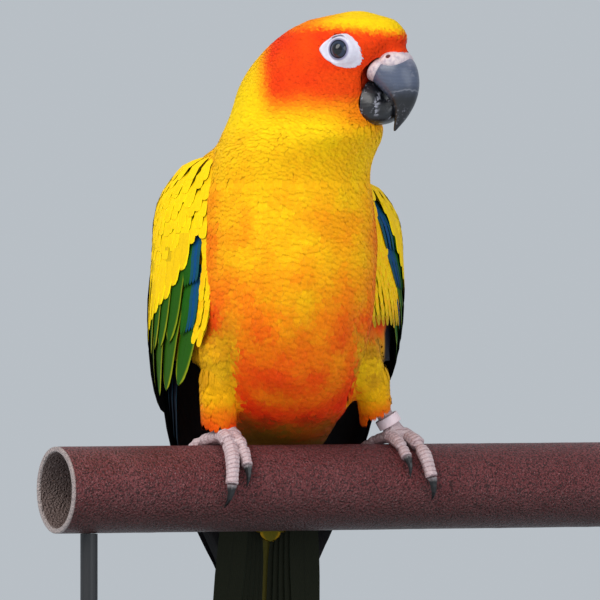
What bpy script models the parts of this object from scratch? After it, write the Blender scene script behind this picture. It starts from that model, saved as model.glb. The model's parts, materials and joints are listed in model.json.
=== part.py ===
"""A sun conure, life size, on a cut length of painted pipe that a plain display stand holds up.

Metres, +Z up. The origin is the middle of the base's underside. The pipe runs along X. The bird faces -Y,
turned a little to its own right, with its head turned to its left.

The bird has a frame of its own, which an empty carries: its origin is on top of the pipe between the feet, +X
is the bird's left, +Y its back. The head has an axis too, which leaves the neck's pivot at the head's turn.
"""

import math

import bmesh
import bpy
from mathutils import Matrix, Vector

MM = 0.001
GAP = 0.3 * MM

# Pipe, base and rods
PIPE_RADIUS = 15.0 * MM
PIPE_WALL = 1.8 * MM
PIPE_LENGTH = 236.0 * MM
PIPE_AXIS_Z = 133.0 * MM
PIPE_SIDES = 40
BASE_SIZE = (240.0 * MM, 124.0 * MM, 12.0 * MM)
BASE_BEVEL = 1.5 * MM
ROD_RADIUS = 3.0 * MM
ROD_X = 105.0 * MM
ROD_SIDES = 24

# Where the bird stands, and how it and its head are turned
PERCH_TOP = PIPE_AXIS_Z + PIPE_RADIUS
BIRD_X = -29.3 * MM
BIRD_TURN = math.radians(-15.0)
HEAD_TURN = math.radians(50.0)
HEAD_PIVOT = (0.0, -5.0)

# Cuts that part the body, as heights over the perch in mm
TAIL_CUT = -12.0
NECK_CUT = 97.0
HEAD_CUT = 111.6
BODY_SIDES = 24

# Trunk and head by height in mm: centre along the head's turned axis (or x = 0, y below the turn), turn as a
# fraction of the head's, then the reach to the front, to the back and to each side.
# height: (centre x, centre y, turn, front, back, side)
BODY = {
    -16.0: (0.0, 28.5, 0.0, 4.5, 5.0, 11.0),
    -6.0: (0.0, 25.5, 0.0, 8.5, 7.5, 15.5),
    2.0: (0.0, 21.0, 0.0, 15.0, 10.5, 19.5),
    12.0: (0.0, 13.5, 0.0, 25.0, 17.0, 24.0),
    26.0: (0.0, 5.5, 0.0, 30.0, 22.5, 28.5),
    44.0: (0.0, -1.0, 0.0, 31.5, 25.5, 31.0),
    62.0: (0.0, -4.0, 0.0, 30.5, 26.5, 31.2),
    80.0: (0.2, -5.5, 0.0, 27.0, 26.5, 30.5),
    92.0: (0.8, -7.0, 0.16, 24.5, 27.5, 29.7),
    102.0: (2.2, -8.0, 0.42, 26.0, 30.8, 28.3),
    109.0: (4.2, -9.0, 0.75, 28.6, 30.4, 24.4),
    116.0: (4.9, -9.1, 1.0, 28.6, 27.2, 20.2),
    124.0: (6.1, -10.1, 1.0, 28.6, 26.4, 18.4),
    131.0: (9.2, -12.7, 1.0, 27.6, 26.4, 17.2),
    138.0: (13.8, -16.6, 1.0, 27.4, 25.9, 16.0),
    142.0: (15.3, -17.9, 1.0, 26.6, 23.0, 14.3),
    145.5: (16.9, -19.1, 1.0, 22.0, 19.0, 12.2),
    148.6: (19.2, -21.1, 1.0, 15.2, 13.4, 8.4),
    150.2: (20.4, -22.1, 1.0, 8.6, 7.6, 4.8),
    150.7: (20.8, -22.4, 1.0, 3.4, 3.0, 2.0),
}
TRUNK_STEP = 5.5
HEAD_STEP = 2.9

# Eyes: how far along the head's axis from the pivot, and how high
EYE_ALONG = 28.0
EYE_HEIGHT = 138.2
EYE_RADIUS = 3.9
EYE_IN = 12.9
LID_RADIUS = 3.75
LID_THICKNESS = 0.85
LID_OUT = 14.9

# Bill: rows of (along, height, slope in degrees, half depth, half width), in mm on the head's axis
UPPER_BILL = (
    (33.0, 127.4, 0.0, 8.6, 8.0),
    (39.6, 127.2, -8.0, 9.3, 8.2),
    (44.0, 125.2, -30.0, 8.4, 7.2),
    (46.3, 121.2, -58.0, 5.7, 5.5),
    (46.1, 116.6, -82.0, 3.7, 3.7),
    (44.6, 112.9, -110.0, 2.1, 2.1),
    (42.4, 109.8, -128.0, 0.5, 0.6),
)
LOWER_BILL = (
    (31.0, 119.4, -12.0, 5.6, 7.2),
    (35.5, 117.9, -6.0, 5.5, 7.0),
    (39.2, 118.0, 22.0, 4.4, 5.9),
    (41.6, 119.9, 52.0, 2.6, 4.2),
    (42.5, 121.8, 70.0, 1.0, 2.4),
)
BILL_SIDES = 14
CERE = (42.6, 0.0, 134.4)
CERE_RADII = (5.4, 7.6, 3.4)
NOSTRIL = (43.2, 4.6, 137.1)
NOSTRIL_RADIUS = 0.85

# Wings: guide curves by height in mm, each (leading x, leading y, trailing x, trailing y, bulge between them)
WING = {
    98.0: (24.5, -1.0, 19.0, 10.0, 3.5),
    92.0: (27.5, -5.0, 15.5, 17.5, 12.5),
    80.0: (29.5, -8.0, 11.0, 24.5, 23.5),
    62.0: (30.0, -9.0, 7.5, 28.0, 27.5),
    45.0: (31.0, -8.0, 5.5, 30.0, 28.5),
    30.0: (33.0, -4.0, 5.0, 32.0, 26.5),
    15.0: (34.6, 4.0, 6.5, 34.5, 21.0),
    0.0: (34.5, 15.0, 10.5, 37.5, 13.5),
    -20.0: (29.5, 28.0, 15.0, 40.5, 6.0),
    -42.0: (23.5, 37.0, 19.0, 42.0, 2.0),
}
WING_TOP = 98.0
WING_BOTTOM = -42.0
# How far each wing's top is raised, and its lower part set outwards and back, clear of the leg
WING_RAISE = {"left": -3.0, "right": 5.5}
WING_OUT = {"left": 2.5, "right": 2.5}
WING_BACK = {"left": 7.0, "right": 0.0}
WING_BULGE = {"left": 1.03, "right": 0.92}
CORE_END = 0.60
CORE_DEPTH = 17.0

# Feathers: vanes of one thickness, whose width follows this share of its half width from root to tip
VANE_THICKNESS = 0.55
VANE_WIDTHS = (0.5, 0.88, 1.0, 0.98, 0.78, 0.16)
# Wing tiers, from s along the wing and t round it: secondaries and coverts overlap by a tilt, primaries by a step
SECONDARIES = {"count": 7, "t": (0.13, 0.9), "s": (0.27, 0.64), "half": 5.9, "lift": (-0.9, 0.4)}
COVERTS = {"count": 6, "t": (0.2, 0.84), "s": (0.13, 0.42), "half": 6.2, "lift": (-0.9, 1.9)}
TIER_TILT = 0.12
PRIMARY_COUNT = 6
PRIMARY_ROOT = (0.43, 0.56)
PRIMARY_TIPS = (0.76, 1.0)
PRIMARY_T_STEP = 0.085
PRIMARY_HALF = 4.6
PRIMARY_LIFT = -1.3
PRIMARY_STEP = -0.86
PRIMARY_RISE = 2.8
PRIMARY_COVERT_T = (0.015, 0.085)

# Tail
TAIL_ROOT = (0.0, 26.3, TAIL_CUT - 0.3)
TAIL_SLOPE = math.radians(10.0)
TAIL_LENGTHS = (121.0, 113.0, 100.0, 86.0, 73.0, 61.0)
TAIL_VANE_HALF = 5.5
TAIL_LAYER = 0.9
TAIL_TOP_LAYER = 2.3
TAIL_FAN = (1.3, 0.012)
TAIL_CORE = ((-1.0, 12.6, 6.2), (8.0, 12.8, 5.4), (18.0, 11.5, 3.9), (26.0, 9.0, 2.4), (31.0, 5.5, 1.0))
# Tail coverts, over and under the tail: x, half width, length, and how far they lie from its middle
TAIL_COVERT_ROOT = 3.0
TAIL_COVERTS = (
    (-7.0, 4.8, 31.0, 4.5),
    (7.0, 4.8, 31.0, 4.5),
    (0.0, 5.0, 38.0, 5.4),
    (-3.9, 3.6, 22.0, 6.4),
    (3.9, 3.6, 22.0, 6.4),
)

# Legs and feet, in mm. Foot places are along X of the whole part, heights over the perch.
HIP = {"left": (16.0, 0.0, 45.0), "right": (-15.0, -2.0, 45.0)}
KNEE = {"left": (27.5, -5.0, 26.0), "right": (-30.5, -8.5, 24.0)}
ANKLE = {"left": (9.0, 1.8, 13.2), "right": (-51.0, 2.4, 10.5)}
FOOT_X = {"left": 14.5, "right": -51.6}
THIGH_RADII = (9.0, 13.0, 5.0)
TARSUS_RADIUS = 2.9 * MM
TARSUS_SUNK = 3.0 * MM
FOOT_RISE = 3.4 * MM
SOLE_RADII = (5.2, 4.4, 3.0)
FOOT_CLEARANCE = 1.2 * MM
# Toe: start X, end X, start angle, end angle round the pipe (positive to the front), radius, claw's angle
TOES = {
    "left": (
        (17.3, 19.6, 4.0, 78.0, 2.9, 30.0),
        (11.2, 11.6, 5.0, 52.0, 2.6, 26.0),
        (16.6, 26.5, -3.0, -76.0, 2.75, 26.0),
        (12.1, 5.5, -6.5, -52.0, 2.4, 26.0),
    ),
    "right": (
        (-53.8, -58.6, 3.0, 84.0, 3.0, 30.0),
        (-50.1, -51.6, 4.5, 62.0, 2.65, 26.0),
        (-54.4, -65.0, -3.5, -76.0, 2.75, 26.0),
        (-49.2, -44.5, -6.0, -64.0, 2.4, 26.0),
    ),
}
TOE_SIDES = 7
TOE_PRESS = 0.3 * MM
CLAW_SIDES = 6
BAND_DOWN = 0.52
BAND_INNER = 3.4 * MM
BAND_OUTER = 4.3 * MM
BAND_HEIGHT = 3.4 * MM

# Material: colour, roughness, metallic value
MATERIALS = {
    "plumage_red": ((0.80, 0.13, 0.01), 0.8, 0.0),
    "plumage_gold": ((0.85, 0.42, 0.01), 0.8, 0.0),
    "plumage_orange": ((0.85, 0.25, 0.01), 0.8, 0.0),
    "wing_green": ((0.10, 0.28, 0.03), 0.7, 0.0),
    "tail_olive": ((0.06, 0.07, 0.02), 0.7, 0.0),
    "bill": ((0.05, 0.055, 0.065), 0.35, 0.0),
    "eye": ((0.01, 0.012, 0.02), 0.05, 0.0),
    "foot": ((0.30, 0.24, 0.24), 0.7, 0.0),
    "claw": ((0.02, 0.018, 0.018), 0.35, 0.0),
    "band": ((0.75, 0.66, 0.66), 0.3, 0.0),
    "pipe": ((0.12, 0.045, 0.045), 0.75, 0.0),
    "stand": ((0.02, 0.02, 0.02), 0.5, 0.0),
}


def clear_scene():
    for old in list(bpy.data.objects):
        bpy.data.objects.remove(old, do_unlink=True)


def make_material(name):
    color, roughness, metallic = MATERIALS[name]
    material = bpy.data.materials.new(name)
    material.use_nodes = True
    shader = material.node_tree.nodes["Principled BSDF"]
    shader.inputs["Base Color"].default_value = (*color, 1.0)
    shader.inputs["Roughness"].default_value = roughness
    shader.inputs["Metallic"].default_value = metallic
    return material


# Shared tools


def smooth_row(table, at):
    """The row at one height of a table whose keys are heights, along a cubic through its rows."""
    keys = sorted(table)
    at = min(max(at, keys[0]), keys[-1])
    low = max(index for index, key in enumerate(keys[:-1]) if key <= at)
    high = low + 1

    def slope(index, column):
        before = max(index - 1, 0)
        after = min(index + 1, len(keys) - 1)
        rise = table[keys[after]][column] - table[keys[before]][column]
        return rise / (keys[after] - keys[before])

    span = keys[high] - keys[low]
    t = (at - keys[low]) / span
    row = []
    for column in range(len(table[keys[0]])):
        start = table[keys[low]][column]
        end = table[keys[high]][column]
        value = (2 * t**3 - 3 * t**2 + 1) * start + (3 * t**2 - 2 * t**3) * end
        value += span * (t**3 - 2 * t**2 + t) * slope(low, column)
        value += span * (t**3 - t**2) * slope(high, column)
        row.append(value)
    return row


def mix(start, end, t):
    return start + (end - start) * t


def loft(rings):
    """A closed body through rings of equal count, with a face over each end."""
    shape = bmesh.new()
    rows = [[shape.verts.new(point) for point in ring] for ring in rings]
    count = len(rings[0])
    for low, high in zip(rows, rows[1:]):
        for k in range(count):
            after = (k + 1) % count
            shape.faces.new((low[k], low[after], high[after]))
            shape.faces.new((low[k], high[after], high[k]))
    shape.faces.new(list(reversed(rows[0])))
    shape.faces.new(rows[-1])
    bmesh.ops.recalc_face_normals(shape, faces=shape.faces)
    return shape


def add_object(name, shape, collection, parent=None, material=None):
    mesh = bpy.data.meshes.new(name)
    bmesh.ops.triangulate(shape, faces=shape.faces)
    shape.to_mesh(mesh)
    shape.free()
    piece = bpy.data.objects.new(name, mesh)
    collection.objects.link(piece)
    piece.parent = parent
    if material:
        mesh.materials.append(material)
        mesh.shade_smooth()
        mesh.set_sharp_from_angle(angle=math.radians(35.0))
    return piece


def bake(piece):
    """Puts the modifiers' result into the piece's own mesh."""
    bpy.context.view_layer.update()
    graph = bpy.context.evaluated_depsgraph_get()
    mesh = bpy.data.meshes.new_from_object(piece.evaluated_get(graph))
    mesh.name = piece.name
    piece.modifiers.clear()
    piece.data = mesh


def keep_largest(piece):
    """Drops every closed surface of the piece but the largest."""
    shape = bmesh.new()
    shape.from_mesh(piece.data)
    bmesh.ops.remove_doubles(shape, verts=shape.verts, dist=1e-7)
    unseen = set(shape.faces)
    surfaces = []
    while unseen:
        start = unseen.pop()
        surface = {start}
        queue = [start]
        while queue:
            face = queue.pop()
            for edge in face.edges:
                for other in edge.link_faces:
                    if other in unseen:
                        unseen.remove(other)
                        surface.add(other)
                        queue.append(other)
        surfaces.append(surface)
    largest = max(surfaces, key=lambda surface: sum(face.calc_area() for face in surface))
    extra = [face for surface in surfaces if surface is not largest for face in surface]
    bmesh.ops.delete(shape, geom=extra, context="FACES")
    loose = [vert for vert in shape.verts if not vert.link_faces]
    bmesh.ops.delete(shape, geom=loose, context="VERTS")
    shape.to_mesh(piece.data)
    shape.free()


def combine(piece, others, operation, solver="EXACT"):
    """One Boolean of the piece with closed meshes, which are used up."""
    helpers = bpy.data.collections.new("helpers")
    bpy.context.scene.collection.children.link(helpers)
    for other in others:
        for home in list(other.users_collection):
            home.objects.unlink(other)
        helpers.objects.link(other)
    modifier = piece.modifiers.new(operation.lower(), "BOOLEAN")
    modifier.operation = operation
    modifier.operand_type = "COLLECTION"
    modifier.collection = helpers
    modifier.solver = solver
    bake(piece)
    for other in list(helpers.objects):
        bpy.data.objects.remove(other, do_unlink=True)
    bpy.data.collections.remove(helpers)
    keep_largest(piece)


def primitive_ball(center, radii, frame=None, rings=8, segments=16):
    shape = bmesh.new()
    bmesh.ops.create_uvsphere(shape, u_segments=segments, v_segments=rings, radius=1.0)
    place = Matrix.Translation(center) @ (frame or Matrix.Identity(4)) @ Matrix.Diagonal((*radii, 1.0))
    bmesh.ops.transform(shape, matrix=place, verts=shape.verts)
    return shape


# Body


def body_ring(height, grow=0.0):
    x, y, turn, front, back, side = smooth_row(BODY, height)
    angle = HEAD_TURN * turn
    forward = Vector((math.sin(angle), -math.cos(angle), 0.0))
    left = Vector((math.cos(angle), math.sin(angle), 0.0))
    ring = []
    for k in range(BODY_SIDES):
        around = 2.0 * math.pi * k / BODY_SIDES - angle
        reach = front if math.cos(around) > 0.0 else back
        point = Vector((x, y, height))
        point += forward * (reach + grow) * math.cos(around)
        point += left * (side + grow) * math.sin(around)
        ring.append(point * MM)
    return ring


def body_length(low, high, step, grow=0.0):
    """The body between two heights, as a loft."""
    steps = max(2, round((high - low) / step))
    heights = [mix(low, high, k / steps) for k in range(steps + 1)]
    return loft([body_ring(height, grow) for height in heights])


def head_point(along, left, height):
    """A point in the bird's frame from one on the head's axis, all in mm."""
    forward = Vector((math.sin(HEAD_TURN), -math.cos(HEAD_TURN), 0.0))
    side = Vector((math.cos(HEAD_TURN), math.sin(HEAD_TURN), 0.0))
    point = Vector((*HEAD_PIVOT, height)) + forward * along + side * left
    return point * MM


HEAD_FRAME = Matrix.Rotation(HEAD_TURN, 4, "Z")


def bill_shape(rows, grow=0.0):
    """A bill half as a loft of ovals whose planes turn with its curve."""
    rings = []
    for number, (along, height, slope, depth, width) in enumerate(rows):
        tilt = math.radians(slope)
        if grow and number in (0, len(rows) - 1):
            reach = grow if number else -grow
            along += math.cos(tilt) * reach
            height += math.sin(tilt) * reach
        ring = []
        for k in range(BILL_SIDES):
            around = 2.0 * math.pi * k / BILL_SIDES
            up = math.cos(around) * (depth + grow)
            ring.append(
                head_point(
                    along - math.sin(tilt) * up,
                    math.sin(around) * (width + grow),
                    height + math.cos(tilt) * up,
                )
            )
        rings.append(ring)
    return loft(rings)


def eye_center(side):
    return head_point(EYE_ALONG, side * EYE_IN, EYE_HEIGHT)


def make_head(parts, bird, materials):
    """Head, neck and torso from one body parted by thin cuts, with lids, nostrils and sockets."""
    scene = bpy.context.scene.collection
    top = max(BODY)
    head = add_object(
        "head", body_length(HEAD_CUT + 0.3, top, HEAD_STEP), parts, bird, materials["plumage_red"]
    )
    neck = add_object(
        "neck", body_length(NECK_CUT + 0.3, HEAD_CUT, TRUNK_STEP), parts, bird, materials["plumage_gold"]
    )
    torso = add_object(
        "torso", body_length(TAIL_CUT, NECK_CUT, TRUNK_STEP), parts, bird, materials["plumage_orange"]
    )
    cere = primitive_ball(head_point(*CERE), Vector(CERE_RADII).yxz * MM, HEAD_FRAME, 8, 16)
    added = [add_object("cere", cere, scene, bird)]
    for side in (-1, 1):
        lid = Matrix.Translation(head_point(EYE_ALONG, side * LID_OUT, EYE_HEIGHT)) @ HEAD_FRAME
        lid = lid @ Matrix.Rotation(math.radians(90.0 - side * 8.0), 4, "Y")
        added.append(add_object("lid", ring_shape(lid), scene, bird))
    combine(head, added, "UNION")
    cuts = []
    for side in (-1, 1):
        socket = primitive_ball(eye_center(side), [(EYE_RADIUS + 0.3) * MM] * 3, None, 8, 12)
        cuts.append(add_object("socket", socket, scene, bird))
        nostril = primitive_ball(
            head_point(NOSTRIL[0], side * NOSTRIL[1], NOSTRIL[2]), [NOSTRIL_RADIUS * MM] * 3, None, 6, 8
        )
        cuts.append(add_object("nostril", nostril, scene, bird))
    cuts.append(add_object("upper", bill_shape(UPPER_BILL, 0.3), scene, bird))
    combine(head, cuts, "DIFFERENCE")
    for piece in (head, neck):
        lower = add_object("lower", bill_shape(LOWER_BILL, 0.3), scene, bird)
        combine(piece, [lower], "DIFFERENCE")
    combine(torso, leg_blockers(), "DIFFERENCE")
    return head, neck, torso


def ring_shape(place):
    """An eyelid's ring: a torus round the placed Z axis."""
    rings = []
    segments = 16
    for k in range(segments):
        around = 2.0 * math.pi * k / segments
        out = Vector((math.cos(around), math.sin(around), 0.0))
        ring = []
        for j in range(6):
            turn = 2.0 * math.pi * j / 6
            offset = out * math.cos(turn) + Vector((0.0, 0.0, math.sin(turn)))
            ring.append(place @ ((out * LID_RADIUS + offset * LID_THICKNESS) * MM))
        rings.append(ring)
    shape = bmesh.new()
    rows = [[shape.verts.new(point) for point in ring] for ring in rings]
    for k in range(segments):
        low = rows[k]
        high = rows[(k + 1) % segments]
        for j in range(6):
            after = (j + 1) % 6
            shape.faces.new((low[j], low[after], high[after], high[j]))
    bmesh.ops.recalc_face_normals(shape, faces=shape.faces)
    return shape


def make_eyes(parts, bird, materials):
    for name, side in (("eye_left", 1), ("eye_right", -1)):
        ball = primitive_ball(eye_center(side), [EYE_RADIUS * MM] * 3, None, 10, 16)
        add_object(name, ball, parts, bird, materials["eye"])


def make_bill(parts, bird, materials):
    scene = bpy.context.scene.collection
    add_object("bill_upper", bill_shape(UPPER_BILL), parts, bird, materials["bill"])
    lower = add_object("bill_lower", bill_shape(LOWER_BILL), parts, bird, materials["bill"])
    combine(lower, [add_object("upper", bill_shape(UPPER_BILL, 0.35), scene, bird)], "DIFFERENCE")


# Wings


def wing_point(name, s, t, lift=0.0):
    """A point on a folded wing: s from top to tip, t from its leading edge round to its trailing edge."""
    height = mix(WING_TOP, WING_BOTTOM, s)
    lead_x, lead_y, trail_x, trail_y, bulge = smooth_row(WING, height)
    chord = Vector((trail_x - lead_x, trail_y - lead_y))
    out = Vector((chord.y, -chord.x)).normalized()
    away = bulge * WING_BULGE[name] * 4.0 * t * (1.0 - t) + lift
    low = min(1.0, max(0.0, 2.2 * s - 0.5))
    low = low * low * (3.0 - 2.0 * low)
    x = mix(lead_x, trail_x, t) + out.x * away + WING_OUT[name] * low * (1.0 - s)
    y = mix(lead_y, trail_y, t) + out.y * away + WING_BACK[name] * low * (1.0 - t)
    raised = height + WING_RAISE[name] * max(0.0, 1.0 - 2.0 * s)
    side = 1 if name == "left" else -1
    return Vector((side * x, y, raised)) * MM


def wing_width(name, s):
    """The length round the wing from edge to edge, in mm."""
    points = [wing_point(name, s, k / 8) for k in range(9)]
    return sum((b - a).length for a, b in zip(points, points[1:])) / MM


def wing_core(name):
    """The arm under the feathers: thick at the shoulder and thin where the flight feathers leave it."""
    rings = []
    across = [k / 7 for k in range(8)]
    for number in range(10):
        s = CORE_END * number / 9
        depth = CORE_DEPTH * (1.0 - 0.86 * (s / CORE_END) ** 1.5) * min(1.0, 0.35 + 6.0 * s)
        outer = [wing_point(name, s, t) for t in across]
        inner = []
        for t in across:
            round_off = math.sqrt(max(0.0, 4.0 * t * (1.0 - t)))
            inner.append(wing_point(name, s, t, -0.9 - (depth - 0.9) * round_off))
        rings.append(outer + list(reversed(inner)))
    return loft(rings)


def vane(corners):
    """A thin feather from rows of four corners: its top's left and right, then its underside's right and left.

    Top and underside are split into triangles alike, so that they never cross where the vane curves.
    """
    shape = bmesh.new()
    rows = [[shape.verts.new(point) for point in row] for row in corners]
    for low, high in zip(rows, rows[1:]):
        for a, b in ((0, 1), (3, 2)):
            shape.faces.new((low[a], low[b], high[b]))
            shape.faces.new((low[a], high[b], high[a]))
        for a, b in ((1, 2), (3, 0)):
            shape.faces.new((low[a], low[b], high[b], high[a]))
    shape.faces.new(rows[0])
    shape.faces.new(rows[-1])
    bmesh.ops.recalc_face_normals(shape, faces=shape.faces)
    return shape


def wing_vane(name, s_ends, t_ends, half, lift_ends, tilt=0.0, rise=0.0):
    """One feather of a wing along a rib, with its half width and its lift over the wing's surface in mm."""
    corners = []
    last = len(VANE_WIDTHS) - 1
    for number, share in enumerate(VANE_WIDTHS):
        f = number / last
        s = mix(*s_ends, f)
        t = mix(*t_ends, f)
        reach = half * share / wing_width(name, s)
        lift = mix(*lift_ends, min(1.0, 2.5 * f)) + rise * f
        row = []
        for edge, layer in ((-1, 0.5), (1, 0.5), (1, -0.5), (-1, -0.5)):
            height = lift - edge * tilt * half * share + layer * VANE_THICKNESS
            row.append(wing_point(name, s, t + edge * reach, height))
        corners.append(row)
    return vane(corners)


def tier_vanes(name, tier, lengths):
    """A row of like feathers side by side, each tucked under the next one inward."""
    count = tier["count"]
    shapes = []
    for number in range(count):
        f = number / (count - 1)
        t = mix(*tier["t"], f)
        start, end = tier["s"]
        ends = (start, end + lengths(f))
        shapes.append(wing_vane(name, ends, (t, t), tier["half"], tier["lift"], TIER_TILT))
    return shapes


def wing_feathers(name):
    """Primaries, secondaries, coverts and primary coverts of one wing."""
    shapes = []
    for number in range(PRIMARY_COUNT):
        f = number / (PRIMARY_COUNT - 1)
        t = PRIMARY_ROOT[1] - PRIMARY_T_STEP * number
        ends = (PRIMARY_ROOT[0], mix(*PRIMARY_TIPS, f**0.8))
        lift = PRIMARY_LIFT + PRIMARY_STEP * number
        shapes.append(wing_vane(name, ends, (t, t + 0.12), PRIMARY_HALF, (lift, lift), 0.0, PRIMARY_RISE))
    shapes += tier_vanes(name, SECONDARIES, lambda f: 0.03 * math.sin(math.pi * f) - 0.07 * f * f)
    shapes += tier_vanes(name, COVERTS, lambda f: 0.02 * math.sin(math.pi * f))
    for number, t in enumerate(PRIMARY_COVERT_T):
        ends = (0.2 + 0.03 * number, 0.47 - 0.03 * number)
        shapes.append(wing_vane(name, ends, (t, t), 2.6, (-0.9, 1.4 - 0.9 * number)))
    return shapes


def make_wing(name, parts, bird, materials, blockers):
    scene = bpy.context.scene.collection
    wing = add_object("wing_" + name, wing_core(name), parts, bird, materials["wing_green"])
    feathers = [add_object("feather", shape, scene, bird) for shape in wing_feathers(name)]
    combine(wing, feathers, "UNION")
    combine(wing, blockers(), "DIFFERENCE")


# Tail


def tail_point(along, x, dorsal):
    axis = Vector((0.0, math.sin(TAIL_SLOPE), -math.cos(TAIL_SLOPE)))
    back = Vector((0.0, math.cos(TAIL_SLOPE), math.sin(TAIL_SLOPE)))
    return (Vector(TAIL_ROOT) + axis * along + back * dorsal + Vector((x, 0.0, 0.0))) * MM


def tail_core():
    rings = []
    for along, half_width, half_depth in TAIL_CORE:
        ring = []
        for k in range(16):
            around = 2.0 * math.pi * k / 16
            ring.append(tail_point(along, half_width * math.sin(around), half_depth * math.cos(around)))
        rings.append(ring)
    return loft(rings)


def tail_vane(start, end, middle, half, layer_ends):
    """A feather of the tail: middle gives its x by its place along the tail and its half width there."""
    corners = []
    last = len(VANE_WIDTHS) - 1
    for number, share in enumerate(VANE_WIDTHS):
        f = number / last
        along = mix(start, end, f)
        reach = half * share
        x = middle(along, reach)
        layer = mix(*layer_ends, min(1.0, 2.0 * f))
        row = []
        for edge, side in ((-1, 0.5), (1, 0.5), (1, -0.5), (-1, -0.5)):
            row.append(tail_point(along, x + edge * reach, layer + side * VANE_THICKNESS))
        corners.append(row)
    return vane(corners)


def tail_feathers():
    """Six pairs, the middle one longest and on top, each further out under the one before; then the coverts."""
    shapes = []
    for pair, length in enumerate(TAIL_LENGTHS):
        layer = TAIL_TOP_LAYER - pair * TAIL_LAYER
        for side in (-1, 1):

            def middle(along, reach, side=side, pair=pair):
                return side * (0.2 + reach + pair * (TAIL_FAN[0] + TAIL_FAN[1] * along))

            shapes.append(tail_vane(3.0, length, middle, TAIL_VANE_HALF, (layer, layer)))
    for x, half, length, away in TAIL_COVERTS:
        for face in (-1, 1):
            layers = (face * TAIL_COVERT_ROOT, face * away)
            shapes.append(tail_vane(2.0, length, lambda along, reach, x=x: x, half, layers))
    return shapes


def make_tail(parts, bird, materials, blockers):
    scene = bpy.context.scene.collection
    tail = add_object("tail", tail_core(), parts, bird, materials["tail_olive"])
    feathers = [add_object("feather", shape, scene, bird) for shape in tail_feathers()]
    combine(tail, feathers, "UNION")
    combine(tail, blockers(), "DIFFERENCE")


# Legs, feet and band


def from_bird(point):
    place = Matrix.Translation((BIRD_X, 0.0, PERCH_TOP)) @ Matrix.Rotation(BIRD_TURN, 4, "Z")
    return place @ (Vector(point) * MM)


def tube(points, radii, sides, grow=0.0):
    """A round loft along points, with its rings square to the path."""
    rings = []
    for number, (point, radius) in enumerate(zip(points, radii)):
        before = points[max(number - 1, 0)]
        after = points[min(number + 1, len(points) - 1)]
        axis = (after - before).normalized()
        side = axis.cross(Vector((0.0, 1.0, 0.0) if abs(axis.y) < 0.8 else (1.0, 0.0, 0.0))).normalized()
        up = side.cross(axis)
        ring = []
        for k in range(sides):
            around = 2.0 * math.pi * k / sides
            ring.append(point + (side * math.cos(around) + up * math.sin(around)) * (radius + grow))
        rings.append(ring)
    return loft(rings)


def leg_points(side_name):
    hip = from_bird(HIP[side_name])
    knee = from_bird(KNEE[side_name])
    ankle = Vector(ANKLE[side_name]) * MM + Vector((0.0, 0.0, PERCH_TOP))
    return hip, knee, ankle


def thigh_shape(side_name, grow=0.0):
    hip, knee, ankle = leg_points(side_name)
    points = []
    radii = []
    for k in range(9):
        t = k / 8
        points.append(hip * (1 - t) ** 2 + knee * 2 * t * (1 - t) + ankle * t * t)
        thick = THIGH_RADII[0] * (1 - t) ** 2 + 2 * THIGH_RADII[1] * t * (1 - t) + THIGH_RADII[2] * t * t
        radii.append(thick * MM)
    if grow:
        points[-1] = points[-1] + (points[-1] - points[-2]).normalized() * grow
    return tube(points, radii, 16, grow)


def grip_point(x, degrees, radius):
    """A point round the pipe's axis: 0 degrees is on top, positive goes down its front."""
    angle = math.radians(degrees)
    return Vector((x * MM, -radius * math.sin(angle), PIPE_AXIS_Z + radius * math.cos(angle)))


def press_on_pipe(shape):
    """Flattens the underside of what lies on the pipe, by moving each point out to the gap round it."""
    clear = PIPE_RADIUS + GAP
    for vert in shape.verts:
        across = Vector((vert.co.y, vert.co.z - PIPE_AXIS_Z))
        if across.length < clear:
            across = across.normalized() * clear
            vert.co.y = across.x
            vert.co.z = PIPE_AXIS_Z + across.y
    return shape


def toe_shapes(toe):
    """A toe and its claw, laid round the pipe."""
    start_x, end_x, start, end, radius, claw_angle = toe
    radius = radius * MM
    points = []
    radii = []
    steps = 8
    for k in range(steps + 1):
        t = k / steps
        thick = radius * (1.0 - 0.22 * t) * (1.0 + 0.06 * math.cos(6.0 * math.pi * t))
        out = PIPE_RADIUS + GAP + thick - TOE_PRESS
        points.append(grip_point(mix(start_x, end_x, t), mix(start, end, t), out))
        radii.append(thick)
    toe_shape = press_on_pipe(tube(points, radii, TOE_SIDES))
    way = 1.0 if end > start else -1.0
    drift = (end_x - start_x) / abs(end - start)
    gap_angle = math.degrees(GAP / (PIPE_RADIUS + radius)) * 1.6
    claw_points = []
    claw_radii = []
    for k in range(7):
        t = k / 6
        turned = gap_angle + claw_angle * t
        thick = radius * 0.62 * (1.0 - t) ** 0.8 + 0.16 * MM
        hump = 0.9 * MM * math.sin(math.pi * min(1.0, t * 1.1))
        height = mix(radii[-1], 0.5 * MM, t) + hump
        claw_points.append(grip_point(end_x + drift * turned, end + way * turned, PIPE_RADIUS + GAP + height))
        claw_radii.append(thick)
    return toe_shape, press_on_pipe(tube(claw_points, claw_radii, CLAW_SIDES))


def tarsus_shape(side_name, grow=0.0):
    """The bare shank, from inside the thigh down to the top of the foot."""
    ankle = leg_points(side_name)[2]
    foot_top = grip_point(FOOT_X[side_name], 0.0, PIPE_RADIUS + FOOT_RISE)
    down = (foot_top - ankle).normalized()
    top = ankle - down * (TARSUS_SUNK + grow)
    points = [top.lerp(foot_top, t) for t in (0.0, 0.4, 0.7, 1.0)]
    radii = [TARSUS_RADIUS * scale for scale in (0.95, 0.98, 1.05, 1.25)]
    return tube(points, radii, 12, grow)


def sole_shape(side_name, grow=0.0):
    """The pad over the pipe that the toes leave."""
    foot_top = grip_point(FOOT_X[side_name], 0.0, PIPE_RADIUS + FOOT_RISE)
    radii = [radius * MM + grow for radius in SOLE_RADII]
    return primitive_ball(foot_top, radii, None, 8, 14)


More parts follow.
